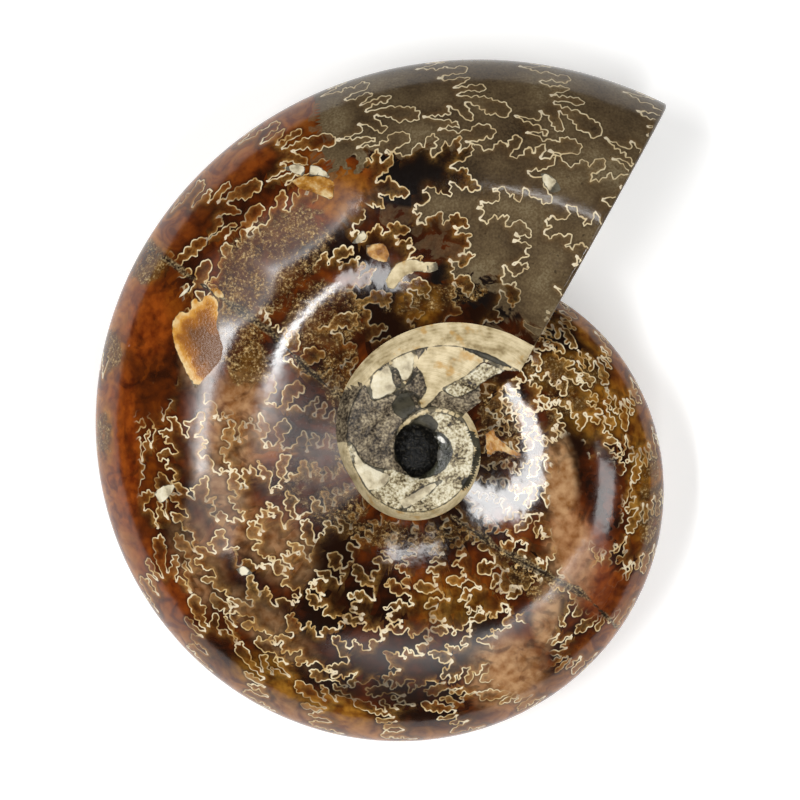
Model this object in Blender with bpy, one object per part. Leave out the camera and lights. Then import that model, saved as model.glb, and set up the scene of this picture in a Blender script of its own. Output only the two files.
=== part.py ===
"""Polished ammonite, lying on its flank.

One solid: a coiled fossil shell whose last whorl is sawn off flat at the mouth. The coil is a
logarithmic spiral about an axis that stands nearly upright. Each row of the surface is one section
of the whorl, from the seam in the upper navel, over the keel, to the seam in the lower navel. In
each navel a strip of the whorl before comes out from under the mouth and narrows to nothing, and
rings run from there in to a small core pit.
"""

import math

import bmesh
import bpy
from mathutils import Matrix, Vector
from mathutils.geometry import interpolate_bezier

# The coil, in metres, seen from above with the mouth at the upper right
MOUTH_RADIUS = 0.0941
WHORL_EXPANSION = 2.08
SAW_BEARING = math.radians(60.9)
SAW_OFFSET = 0.0071
SAW_RIM_ROUNDING = 0.0008
CORE_SHIFT = Vector((-0.0034, 0.0027))

# The whorl section, as shares of the coil radius at the same bearing
HALF_THICKNESS = 0.240
CREST_AT = 0.62
KEEL_FULLNESS = 0.075
FLANK_FULLNESS = 0.83

# The slope from the crest into the navel, as shares of its length and of its fall
SHOULDER_FULLNESS = 0.66
EDGE_RUN = 0.30
EDGE_RISE = 0.45
EDGE_HEIGHT = 0.36

# The navel, in metres. Each core ring is its share of the way from the navel's floor to the pit,
# and the share of the floor's height above the core's lip that is left there.
NAVEL_RADIUS = 0.0145
NAVEL_MOUTH_RADIUS = 0.0345
NAVEL_FLARE_STARTS = math.radians(200)
NAVEL_FLARE_SPAN = math.radians(145)
NAVEL_FLARE_POWER = 1.4
WALL_WIDTH = 0.0016
WALL_FLARE = 0.25
CORE_LIP_HEIGHT = 0.0056
CORE_RINGS = ((0.30, 0.62), (0.55, 0.18), (0.78, 0.0))
PIT_RADII = (0.0043, 0.0058)
PIT_RIM_HEIGHT = 0.0048
PIT_DEPTH = {1: 0.0030, -1: 0.0018}
PIT_WALL_FOOT = 0.0006
PIT_RINGS = (0.82, 0.45)

# How it lies: the coil axis leans this far towards this bearing, and the resting spots are worn flat
LEAN = math.radians(4.0)
LEAN_TOWARDS = math.radians(242.8)
WORN_DEPTH = 0.0004
FLOOR_CUTTER_SIZE = 0.3

# How finely the surface is divided
ROWS = 84
INNER_ROWS = 36
WALL_STEPS = 2
SHOULDER_STEPS = 4
FLANK_STEPS = 8
CREST_COLUMN = WALL_STEPS + SHOULDER_STEPS
SAW_BLEND = math.radians(26)

SHARP_ANGLE = math.radians(40)
SHELL_BROWN = (0.162, 0.048, 0.012)
POLISHED_ROUGHNESS = 0.16


def unit(bearing):
    """Direction in plan at this bearing."""
    return Vector((math.cos(bearing), math.sin(bearing)))


def smooth(share):
    """Ease from 0 to 1."""
    share = min(max(share, 0.0), 1.0)
    return share * share * (3 - 2 * share)


def saw_bearing(radius):
    """Bearing at which the saw plane passes this far from the coil axis."""
    return SAW_BEARING - math.asin(min(SAW_OFFSET / radius, 1.0))


MOUTH_BEARING = saw_bearing(MOUTH_RADIUS)


def coil_radius(bearing):
    """Distance from the coil axis to the keel."""
    turns = (bearing - MOUTH_BEARING) / math.tau
    return MOUTH_RADIUS * WHORL_EXPANSION**-turns


def inner_keel_bearing():
    """Bearing, one turn on, at which the keel comes out from under the sawn mouth."""
    bearing = MOUTH_BEARING + math.tau
    for _ in range(6):
        bearing = saw_bearing(coil_radius(bearing)) + math.tau
    return bearing


INNER_BEARING = inner_keel_bearing()


def saw_pull(bearing):
    """How fully a row follows the saw plane: 1 at both ends of the strip, 0 away from them."""
    nearest = min(bearing - MOUTH_BEARING, INNER_BEARING - bearing)
    return smooth(1 - nearest / SAW_BLEND)


def plan_point(bearing, share):
    """Point in plan on one row, at this share of the coil radius."""
    pull = saw_pull(bearing)
    keel_offset = saw_bearing(coil_radius(bearing))
    here = bearing
    for _ in range(6):
        radius = share * coil_radius(here)
        here = bearing + pull * (saw_bearing(radius) - keel_offset)
    return radius * unit(here), here


def navel_radius(bearing):
    """Distance from the core to the edge of the navel, which flares open towards the mouth."""
    flare = (NAVEL_FLARE_STARTS - bearing) / NAVEL_FLARE_SPAN
    flare = max(flare, 0.0) ** NAVEL_FLARE_POWER
    return NAVEL_RADIUS + (NAVEL_MOUTH_RADIUS - NAVEL_RADIUS) * flare


def wall_width(bearing):
    """Width in plan of the steep wall below the navel's edge."""
    return WALL_WIDTH + WALL_FLARE * (navel_radius(bearing) - NAVEL_RADIUS)


def bezier(points, steps):
    """Evenly stepped points of one curve, given its ends and handles as (share along, height)."""
    corners = [Vector((along, height, 0)) for along, height in points]
    return [(p.x, p.y) for p in interpolate_bezier(*corners, steps + 1)]


FLANK_CURVE = bezier(
    [
        (CREST_AT, HALF_THICKNESS),
        (FLANK_FULLNESS, HALF_THICKNESS),
        (1.0, KEEL_FULLNESS),
        (1.0, 0.0),
    ],
    FLANK_STEPS,
)


def seam_point(bearing):
    """Bottom of the navel's wall, where the whorl meets the one before it."""
    crest, here = plan_point(bearing, CREST_AT)
    outward = (crest - CORE_SHIFT).normalized()
    plan = CORE_SHIFT + outward * (navel_radius(bearing) - wall_width(bearing))
    height = HALF_THICKNESS / WHORL_EXPANSION * coil_radius(here)
    return plan.to_3d() + Vector((0, 0, height))


def crest_point(bearing):
    """Top of the flank, where the whorl is thickest."""
    plan, here = plan_point(bearing, CREST_AT)
    return plan.to_3d() + Vector((0, 0, HALF_THICKNESS * coil_radius(here)))


def navel_slope(seam, crest, wall):
    """Points from the seam up the steep wall to its edge, and over the shoulder to the crest."""
    outward = (crest - seam).to_2d()
    length = outward.length
    outward.normalize()
    edge = seam + (outward * wall).to_3d()
    edge.z = seam.z + EDGE_HEIGHT * (crest.z - seam.z)
    span = length - wall
    shoulder = bezier(
        [
            (0.0, edge.z),
            (EDGE_RUN * span, edge.z + EDGE_RISE * (crest.z - edge.z)),
            (SHOULDER_FULLNESS * span, crest.z),
            (span, crest.z),
        ],
        SHOULDER_STEPS,
    )
    points = [seam.lerp(edge, step / WALL_STEPS) for step in range(WALL_STEPS)]
    for along, height in shoulder:
        point = edge.to_2d() + outward * along
        points.append(Vector((point.x, point.y, height)))
    return points


def upper_row(bearing, seam, inset=0.0):
    """Points of the upper half section, from the seam to the keel, drawn in by the inset."""
    crest = crest_point(bearing)
    row = navel_slope(seam, crest, wall_width(bearing))
    for share, height in FLANK_CURVE[1:]:
        plan, here = plan_point(bearing, share)
        row.append(plan.to_3d() + Vector((0, 0, height * coil_radius(here))))
    middle = crest.to_2d().to_3d()
    for column in range(1, len(row)):
        taper = min(column / CREST_COLUMN, 1.0)
        row[column] += inset * taper * (middle - row[column]).normalized()
    return row


def row_bearings():
    """Bearing of the keel at each row, with one extra row that rounds the rim of the saw cut."""
    rounding = SAW_RIM_ROUNDING / MOUTH_RADIUS
    step = (INNER_BEARING - MOUTH_BEARING) / ROWS
    return [MOUTH_BEARING, MOUTH_BEARING + rounding] + [
        MOUTH_BEARING + step * row for row in range(1, ROWS)
    ] + [INNER_BEARING]


def flip(point):
    """The same point on the lower flank."""
    return Vector((point.x, point.y, -point.z))


def add_whorl(shell):
    """Skin the last turn of the shell. Returns the rows of vertices, each from seam to seam."""
    rows = []
    for bearing in row_bearings():
        at_mouth = bearing == MOUTH_BEARING
        seam = crest_point(INNER_BEARING) if at_mouth else seam_point(bearing)
        upper = upper_row(bearing, seam, SAW_RIM_ROUNDING if at_mouth else 0.0)
        section = upper + [flip(point) for point in reversed(upper[:-1])]
        rows.append([shell.verts.new(point) for point in section])
    share_seam_with_inner_crest(shell, rows)
    skin(shell, rows)
    return rows


def skin(shell, rows, side=1):
    """Join each row of vertices to the next with four-sided faces."""
    for row, after in zip(rows, rows[1:]):
        for column in range(len(row) - 1):
            corners = (row[column], after[column], after[column + 1], row[column + 1])
            shell.faces.new(corners[::side])


def share_seam_with_inner_crest(shell, rows):
    """At the saw cut, each seam of the mouth is the same point as a crest of the inner whorl."""
    mouth, inner = rows[0], rows[-1]
    for column, crest in ((0, CREST_COLUMN), (-1, -1 - CREST_COLUMN)):
        shell.verts.remove(mouth[column])
        mouth[column] = inner[crest]


def add_saw_cut(shell, rows):
    """Close the mouth: the flat face between the last whorl's section and the inner whorl's."""
    mouth, inner = rows[0], rows[-1]
    under = inner[CREST_COLUMN + 1 : len(inner) - CREST_COLUMN - 1]
    shell.faces.new(mouth + under[::-1])


def add_inner_strip(shell, outer_seam, first_row, side):
    """The whorl before, between the last whorl's seam and its own, narrowing to nothing.

    Returns the closed rim of what is left open in the middle.
    """
    start = first_row[0].co
    strip_width = (first_row[-1].co - start).to_2d().length
    end = outer_seam[INNER_ROWS].co
    strip = [first_row]
    for row in range(1, INNER_ROWS):
        left = 1 - row / INNER_ROWS
        outer = outer_seam[row].co
        outward = (outer.to_2d() - CORE_SHIFT).normalized()
        plan = outer.to_2d() - outward * strip_width * left
        seam = Vector((plan.x, plan.y, abs(end.z + (start.z - end.z) * left)))
        crest = Vector((outer.x, outer.y, abs(outer.z)))
        points = navel_slope(seam, crest, WALL_WIDTH * left)[:-1]
        row_verts = [shell.verts.new((x, y, side * z)) for x, y, z in points]
        strip.append(row_verts + [outer_seam[row]])
    skin(shell, strip, side)
    last = outer_seam[INNER_ROWS]
    for vert, after in zip(strip[-1], strip[-1][1:]):
        shell.faces.new((vert, last, after)[::side])
    return [row[0] for row in strip] + outer_seam[INNER_ROWS:-1]


def add_navel(shell, rows, side):
    """Sink the navel of one flank: the inner strip, rings in to the core pit, and its floor."""
    if side > 0:
        outer_seam = [row[0] for row in rows]
        first_row = rows[-1][: CREST_COLUMN + 1]
    else:
        outer_seam = [row[-1] for row in rows]
        first_row = rows[-1][: -2 - CREST_COLUMN : -1]
    rim = add_inner_strip(shell, outer_seam, first_row, side)
    turns = [Vector((1, 0)).angle_signed(CORE_SHIFT - vert.co.to_2d()) for vert in rim]
    ellipse = [
        CORE_SHIFT - Vector((PIT_RADII[0] * math.cos(turn), -PIT_RADII[1] * math.sin(turn)))
        for turn in turns
    ]
    rings = [rim]
    for share, seam_left in CORE_RINGS:
        rings.append(
            [
                shell.verts.new(
                    vert.co.to_2d().lerp(inner, share).to_3d()
                    + Vector((0, 0, side * CORE_LIP_HEIGHT))
                    + Vector((0, 0, side * (abs(vert.co.z) - CORE_LIP_HEIGHT) * seam_left))
                )
                for vert, inner in zip(rim, ellipse)
            ]
        )
    floor = PIT_RIM_HEIGHT - PIT_DEPTH[side]
    foot, middle = PIT_RINGS
    for inward, height in ((1.0, PIT_RIM_HEIGHT), (foot, floor + PIT_WALL_FOOT), (middle, floor)):
        rings.append(
            [
                shell.verts.new(
                    CORE_SHIFT.lerp(inner, inward).to_3d() + Vector((0, 0, side * height))
                )
                for inner in ellipse
            ]
        )
    for outer, inner in zip(rings, rings[1:]):
        for at in range(len(outer)):
            after = (at + 1) % len(outer)
            corners = (outer[at], inner[at], inner[after], outer[after])
            shell.faces.new(corners[::side])
    centre = shell.verts.new(CORE_SHIFT.to_3d() + Vector((0, 0, side * floor)))
    last = rings[-1]
    for at in range(len(last)):
        after = (at + 1) % len(last)
        shell.faces.new((last[at], centre, last[after])[::side])


def lie_on_flank(shell):
    """Turn the coil to the way it rests, its lowest point at the floor and its box centred."""
    axis = unit(LEAN_TOWARDS + math.pi / 2).to_3d()
    lean = Matrix.Rotation(LEAN, 3, axis)
    bmesh.ops.rotate(shell, verts=shell.verts, cent=(0, 0, 0), matrix=lean)
    xs, ys, zs = zip(*(vert.co for vert in shell.verts))
    low = Vector((min(xs) + max(xs), min(ys) + max(ys), 2 * (min(zs) + WORN_DEPTH))) / 2
    bmesh.ops.translate(shell, verts=shell.verts, vec=-low)


def calcite():
    """Polished fossil shell and calcite, amber brown."""
    material = bpy.data.materials.new("polished_amber_calcite")
    material.use_nodes = True
    shader = material.node_tree.nodes["Principled BSDF"]
    shader.inputs["Base Color"].default_value = (*SHELL_BROWN, 1.0)
    shader.inputs["Roughness"].default_value = POLISHED_ROUGHNESS
    shader.inputs["Metallic"].default_value = 0.0
    material.diffuse_color = (*SHELL_BROWN, 1.0)
    return material


def collection_named(name):
    """A new collection in the scene."""
    collection = bpy.data.collections.new(name)
    bpy.context.scene.collection.children.link(collection)
    return collection


def floor_cutter(collection):
    """A box below the floor, which wears the resting spots flat."""
    bpy.ops.mesh.primitive_cube_add(
        size=FLOOR_CUTTER_SIZE, location=(0, 0, -FLOOR_CUTTER_SIZE / 2)
    )
    cutter = bpy.context.object
    cutter.name = "floor_cutter"
    cutter.display_type = "WIRE"
    cutter.hide_render = True
    for owner in list(cutter.users_collection):
        owner.objects.unlink(cutter)
    collection.objects.link(cutter)
    return cutter


def ammonite():
    """Build the shell and wear its resting spots flat."""
    shell = bmesh.new()
    rows = add_whorl(shell)
    add_saw_cut(shell, rows)
    add_navel(shell, rows, 1)
    add_navel(shell, rows, -1)
    bmesh.ops.recalc_face_normals(shell, faces=shell.faces)
    lie_on_flank(shell)
    mesh = bpy.data.meshes.new("ammonite")
    shell.to_mesh(mesh)
    shell.free()
    mesh.shade_smooth()
    mesh.set_sharp_from_angle(angle=SHARP_ANGLE)
    mesh.materials.append(calcite())
    body = bpy.data.objects.new("ammonite", mesh)
    collection_named("polished_ammonite").objects.link(body)
    wear = body.modifiers.new("resting_spots", "BOOLEAN")
    wear.operation = "DIFFERENCE"
    wear.object = floor_cutter(collection_named("cutters"))


def main():
    """Clear the scene and build the ammonite."""
    for item in list(bpy.data.objects):
        bpy.data.objects.remove(item, do_unlink=True)
    ammonite()


main()
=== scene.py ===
"""Looks of the polished ammonite: its sutured surface, finishes, floor, lights and camera.

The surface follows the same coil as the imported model. Suture lines are laid on it as edges of the
mesh, so that each line stays crisp, and every vertex knows how far it is from the nearest one.
"""

import logging
import math
from dataclasses import dataclass, field
from enum import Enum

import bmesh
import bpy
import numpy as np
from mathutils import Matrix, Vector
from mathutils.bvhtree import BVHTree
from mathutils.geometry import delaunay_2d_cdt
from mathutils.kdtree import KDTree


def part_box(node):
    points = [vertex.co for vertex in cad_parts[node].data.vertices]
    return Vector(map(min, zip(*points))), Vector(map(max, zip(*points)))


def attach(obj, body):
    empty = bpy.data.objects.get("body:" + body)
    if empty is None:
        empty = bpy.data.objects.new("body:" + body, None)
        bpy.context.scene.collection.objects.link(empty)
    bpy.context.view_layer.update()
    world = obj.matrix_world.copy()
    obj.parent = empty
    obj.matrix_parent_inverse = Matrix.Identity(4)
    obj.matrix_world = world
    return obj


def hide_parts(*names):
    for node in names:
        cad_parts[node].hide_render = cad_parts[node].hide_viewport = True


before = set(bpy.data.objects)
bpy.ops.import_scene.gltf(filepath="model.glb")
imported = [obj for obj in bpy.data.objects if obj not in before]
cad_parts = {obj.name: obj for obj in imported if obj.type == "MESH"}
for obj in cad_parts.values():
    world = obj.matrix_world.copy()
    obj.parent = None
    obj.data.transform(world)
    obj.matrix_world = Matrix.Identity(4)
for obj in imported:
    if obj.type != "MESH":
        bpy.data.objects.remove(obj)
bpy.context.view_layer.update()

log = logging.getLogger("ammonite")

MM = 0.001
NODE = "ammonite"
SEED = 29

# The photograph's frame: how large one pixel is on the object, and where the object's middle is
PIXEL = 0.22
MIDDLE_PIXEL = (380.0, 401.5)
IMAGE_SIDE = 800

# The farthest distance that a point stores, in millimetres
FAR = 9.0
# Spacing of the rows of an even grid of triangles, as a share of the spacing in a row
ROW_SHARE = 0.866

# What the mesh carries for its finishes: on its points, painted on them, and on its faces
POINT_VALUES = ("tip", "edge_gap", "growth", "inward")
TONES = ("soot", "gold", "rust", "tan", "umber", "moss", "bare", "dull")
FACE_VALUES = ("chamber", "apical", "fill", "mud_reach", "half_reach")

Socket = bpy.types.NodeSocket


class Flank(Enum):
    """The two flanks of the shell; the value is the sign of the height above the median plane."""

    UPPER = 1
    LOWER = -1


class Fill(Enum):
    """What a patch of the surface is made of, GLINT a painted highlight; its faces carry the value.
    """

    CALCITE = 0
    SHELL = 1
    SILT = 2
    GRIT = 3
    FLAKE = 4
    OLIVE = 5
    PIT = 6
    GLASS = 7
    SPUR = 8
    # Painted highlight: pale spots where the pit's glassy crescent catches the light
    SEPTUM = 9
    GLINT = 10


def smooth(share: np.ndarray) -> np.ndarray:
    """Ease from 0 to 1.

    Args:
        share: Any numbers; they are held between 0 and 1.

    Returns:
        The eased numbers.
    """
    share = np.clip(share, 0.0, 1.0)
    return share * share * (3 - 2 * share)


def unit(bearing: np.ndarray) -> np.ndarray:
    """Directions in plan at these bearings, one row each."""
    return np.stack([np.cos(bearing), np.sin(bearing)], axis=-1)


def normalized(vectors: np.ndarray) -> np.ndarray:
    """The same vectors with length one."""
    return vectors / np.maximum(np.linalg.norm(vectors, axis=-1, keepdims=True), 1e-9)


def cubic(ends: tuple, handles: tuple, share: np.ndarray) -> np.ndarray:
    """One coordinate of a Bezier curve.

    Args:
        ends: Its value at the start and at the end.
        handles: Its value at the two handles.
        share: Where along the curve, from 0 to 1.

    Returns:
        The coordinate at each share.
    """
    left = 1 - share
    return (
        left**3 * ends[0]
        + 3 * left**2 * share * handles[0]
        + 3 * left * share**2 * handles[1]
        + share**3 * ends[1]
    )


def from_pixels(points: list) -> np.ndarray:
    """Places on the object, in millimetres, of points given in pixels of the photograph."""
    pixels = np.asarray(points, dtype=float)
    return np.stack(
        [(pixels[..., 0] - MIDDLE_PIXEL[0]) * PIXEL, (MIDDLE_PIXEL[1] - pixels[..., 1]) * PIXEL],
        axis=-1,
    )


@dataclass(frozen=True)
class Coil:
    """The logarithmic coil and the saw plane that ends it, in millimetres, seen from above."""

    mouth_radius: float = 94.1
    expansion: float = 2.08
    saw_bearing: float = math.radians(60.9)
    saw_offset: float = 7.1
    saw_blend: float = math.radians(26)
    core: tuple = (-3.4, 2.7)

    def cut_bearing(self, radius: np.ndarray) -> np.ndarray:
        """Bearing at which the saw plane passes this far from the coil axis."""
        return self.saw_bearing - np.arcsin(np.minimum(self.saw_offset / radius, 1.0))

    @property
    def mouth(self) -> float:
        """Bearing of the keel at the sawn mouth."""
        return float(self.cut_bearing(np.float64(self.mouth_radius)))

    def radius(self, bearing: np.ndarray) -> np.ndarray:
        """Distance from the coil axis to the keel."""
        return self.mouth_radius * self.expansion ** (-(bearing - self.mouth) / math.tau)

    @property
    def inner(self) -> float:
        """Bearing, one turn on, at which the keel comes out from under the mouth."""
        bearing = self.mouth + math.tau
        for _ in range(6):
            bearing = float(self.cut_bearing(self.radius(bearing))) + math.tau
        return bearing

    def pull(self, bearing: np.ndarray) -> np.ndarray:
        """How fully a row follows the saw plane, from 0 to 1."""
        nearest = np.minimum(bearing - self.mouth, self.inner - bearing)
        return smooth(1 - nearest / self.saw_blend)

    def plan(self, bearing: np.ndarray, share: np.ndarray) -> tuple:
        """Points in plan on the rows at these keel bearings.

        Args:
            bearing: Keel bearing of each row.
            share: Share of the coil radius at which the point lies.

        Returns:
            The points, and the bearing at which each one really lies.
        """
        pull = self.pull(bearing)
        keel_offset = self.cut_bearing(self.radius(bearing))
        here = bearing
        for _ in range(6):
            radius = share * self.radius(here)
            here = bearing + pull * (self.cut_bearing(radius) - keel_offset)
        return radius[..., None] * unit(here), here


@dataclass(frozen=True)
class Section:
    """The whorl's section: a navel wall, a shoulder and a flank that runs down to the keel.

    A place across it is its band number plus how far it is through that band: -1 to 0 on the wall,
    0 to 1 on the shoulder, and 1 to 2 from the crest to the keel.
    """

    coil: Coil = field(default_factory=Coil)
    half_thickness: float = 0.240
    crest_at: float = 0.62
    keel_fullness: float = 0.075
    flank_fullness: float = 0.83
    shoulder_fullness: float = 0.66
    edge_run: float = 0.30
    edge_rise: float = 0.45
    edge_height: float = 0.36
    navel_radius: float = 14.5
    navel_mouth_radius: float = 34.5
    flare_starts: float = math.radians(200)
    flare_span: float = math.radians(145)
    flare_power: float = 1.4
    wall: float = 1.6
    wall_flare: float = 0.25
    mouth_blend: float = math.radians(1.5)
    rim_rounding: float = 0.8

    def navel_edge(self, bearing: np.ndarray) -> np.ndarray:
        """Distance from the core to the edge of the navel."""
        flare = np.maximum((self.flare_starts - bearing) / self.flare_span, 0.0) ** self.flare_power
        return self.navel_radius + (self.navel_mouth_radius - self.navel_radius) * flare

    def wall_width(self, bearing: np.ndarray) -> np.ndarray:
        """Width in plan of the wall below the navel's edge."""
        return self.wall + self.wall_flare * (self.navel_edge(bearing) - self.navel_radius)

    def flank_share(self, along: np.ndarray) -> np.ndarray:
        """Share of the coil radius at this share of the flank's curve."""
        return cubic((self.crest_at, 1.0), (self.flank_fullness, 1.0), along)

    def flank_height(self, along: np.ndarray) -> np.ndarray:
        """Height, as a share of the coil radius, at this share of the flank's curve."""
        return cubic((self.half_thickness, 0.0), (self.half_thickness, self.keel_fullness), along)

    def crest(self, bearing: np.ndarray) -> np.ndarray:
        """The thickest place of the flank at each row."""
        plan, here = self.coil.plan(bearing, np.full_like(bearing, self.crest_at))
        height = self.half_thickness * self.coil.radius(here)
        return np.concatenate([plan, height[..., None]], axis=-1)

    def seam(self, bearing: np.ndarray, crest: np.ndarray) -> np.ndarray:
        """Foot of the navel's wall; at the mouth it meets the crest of the inner whorl."""
        outward = normalized(crest[..., :2] - np.array(self.coil.core))
        reach = self.navel_edge(bearing) - self.wall_width(bearing)
        plan = np.array(self.coil.core) + outward * reach[..., None]
        height = crest[..., 2] / self.coil.expansion
        foot = np.concatenate([plan, height[..., None]], axis=-1)
        inner = self.crest(np.array([self.coil.inner]))[0]
        share = smooth(1 - (bearing - self.coil.mouth) / self.mouth_blend)[..., None]
        return foot * (1 - share) + inner * share

    def surface(self, bearing: np.ndarray, across: np.ndarray) -> np.ndarray:
        """Points of the upper half of the shell.

        Args:
            bearing: Keel bearing of the row.
            across: Place across the section, from -1 at the seam to 2 at the keel.

        Returns:
            One point in millimetres per row of the result, the coil axis upright.
        """
        crest = self.crest(bearing)
        seam = self.seam(bearing, crest)
        outward = crest[:, :2] - seam[:, :2]
        length = np.linalg.norm(outward, axis=1)
        outward = outward / length[:, None]
        wall = self.wall_width(bearing)
        edge_height = seam[:, 2] + self.edge_height * (crest[:, 2] - seam[:, 2])
        edge = np.column_stack([seam[:, :2] + outward * wall[:, None], edge_height])
        up_wall = np.clip(across + 1, 0, 1)[:, None]
        points = seam * (1 - up_wall) + edge * up_wall
        along = np.clip(across, 0, 1)
        span = length - wall
        reach = cubic((0.0, 1.0), (self.edge_run, self.shoulder_fullness), along) * span
        rise = cubic((0.0, 1.0), (self.edge_rise, 1.0), along)
        shoulder = np.column_stack(
            [
                edge[:, :2] + outward * reach[:, None],
                edge_height + rise * (crest[:, 2] - edge_height),
            ]
        )
        points = np.where((across > 0)[:, None], shoulder, points)
        along = np.clip(across - 1, 0, 1)
        plan, here = self.coil.plan(bearing, self.flank_share(along))
        height = self.flank_height(along) * self.coil.radius(here)
        flank = np.column_stack([plan, height])
        points = np.where((across > 1)[:, None], flank, points)
        return self.round_rim(bearing, across, points, crest)

    def round_rim(
        self, bearing: np.ndarray, across: np.ndarray, points: np.ndarray, crest: np.ndarray
    ) -> np.ndarray:
        """Roll the last of the surface over at the saw cut.

        Args:
            bearing: Keel bearing of each point.
            across: Place of each point across the section.
            points: The surface before rounding.
            crest: Crest of each point's row.

        Returns:
            The rounded surface.
        """
        gone = (bearing - self.coil.mouth) * self.coil.mouth_radius / self.rim_rounding
        fall = 1 - np.sqrt(np.maximum(1 - np.clip(1 - gone, 0, 1) ** 2, 0.0))
        column = np.where(across < 0, (across + 1) * 2, 2 + 4 * across)
        inset = self.rim_rounding * fall * np.clip(column / 6, 0, 1)
        middle = crest * np.array([1.0, 1.0, 0.0])
        return points + normalized(middle - points) * inset[:, None]


@dataclass
class RestingPose:
    """Where the coil lies: it leans a little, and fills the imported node's box, given in metres."""

    section: Section
    low: Vector
    high: Vector
    lean: float = math.radians(4.0)
    lean_towards: float = math.radians(242.8)

    def __post_init__(self) -> None:
        """Fit the pose to the box."""
        coil = self.section.coil
        axis = Vector((*unit(np.float64(self.lean_towards + math.pi / 2)), 0.0))
        self.turn = np.array(Matrix.Rotation(self.lean, 3, axis))
        bearings = np.linspace(coil.mouth, coil.inner, 720)
        rows = [
            self.section.surface(bearings, np.full_like(bearings, across))
            for across in np.linspace(0.5, 2.0, 40)
        ]
        upper = np.concatenate(rows)
        both = np.concatenate([upper, upper * np.array([1, 1, -1])]) @ self.turn.T
        middle = (np.array(self.low) + np.array(self.high)) / 2 / MM
        self.shift = middle - (both.min(0) + both.max(0)) / 2
        self.shift[2] = self.high[2] / MM - both[:, 2].max()

    def place(self, points: np.ndarray) -> np.ndarray:
        """Points of the upright coil as they lie at rest, in millimetres."""
        return points @ self.turn.T + self.shift

    def upright(self, points: np.ndarray) -> np.ndarray:
        """Points at rest, taken back to the upright coil."""
        return (points - self.shift) @ self.turn


@dataclass
class Chart:
    """A flat map of part of the surface, triangulated with its marks as fixed edges."""

    points: list = field(default_factory=list)
    edges: list = field(default_factory=list)
    edge_line: list = field(default_factory=list)

    def add_points(self, points: np.ndarray) -> list:
        """Add loose points and return their numbers."""
        start = len(self.points)
        self.points.extend(map(tuple, points))
        return list(range(start, len(self.points)))

    def add_line(self, points: np.ndarray, line: int) -> None:
        """Add a polyline whose edges are kept.

        Args:
            points: Its points in order.
            line: The number that its edges carry.
        """
        numbers = self.add_points(points)
        for start, end in zip(numbers, numbers[1:]):
            self.edges.append((start, end))
            self.edge_line.append(line)

    def triangulate(self, inside_only: bool = False) -> tuple:
        """Triangulate what was added.

        Args:
            inside_only: Whether to keep only what the fixed edges enclose.

        Returns:
            Points, triangles (anticlockwise), and a table from an edge's two ends to the line
            number and to whether the edge runs the way its line does.
        """
        points, edges, faces, _, from_edges, _ = delaunay_2d_cdt(
            [Vector(p) for p in self.points], self.edges, [], int(inside_only), 1e-7
        )
        flat = np.array([tuple(p) for p in points])
        fixed = {}
        for (start, end), sources in zip(edges, from_edges):
            if not sources:
                continue
            source = sources[0]
            way = np.array(self.points[self.edges[source][1]]) - self.points[self.edges[source][0]]
            forward = float(np.dot(flat[end] - flat[start], way)) > 0
            line = self.edge_line[source]
            fixed[(start, end)] = (line, forward)
            fixed[(end, start)] = (line, not forward)
        triangles = [(face[0], *pair) for face in faces for pair in zip(face[1:], face[2:])]
        return flat, np.array(triangles), fixed

    def enclosed(self) -> tuple:
        """Points and triangles of what the fixed edges enclose."""
        flat, triangles, _ = self.triangulate(inside_only=True)
        used, numbers = np.unique(triangles, return_inverse=True)
        return flat[used], numbers.reshape(triangles.shape)


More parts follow.
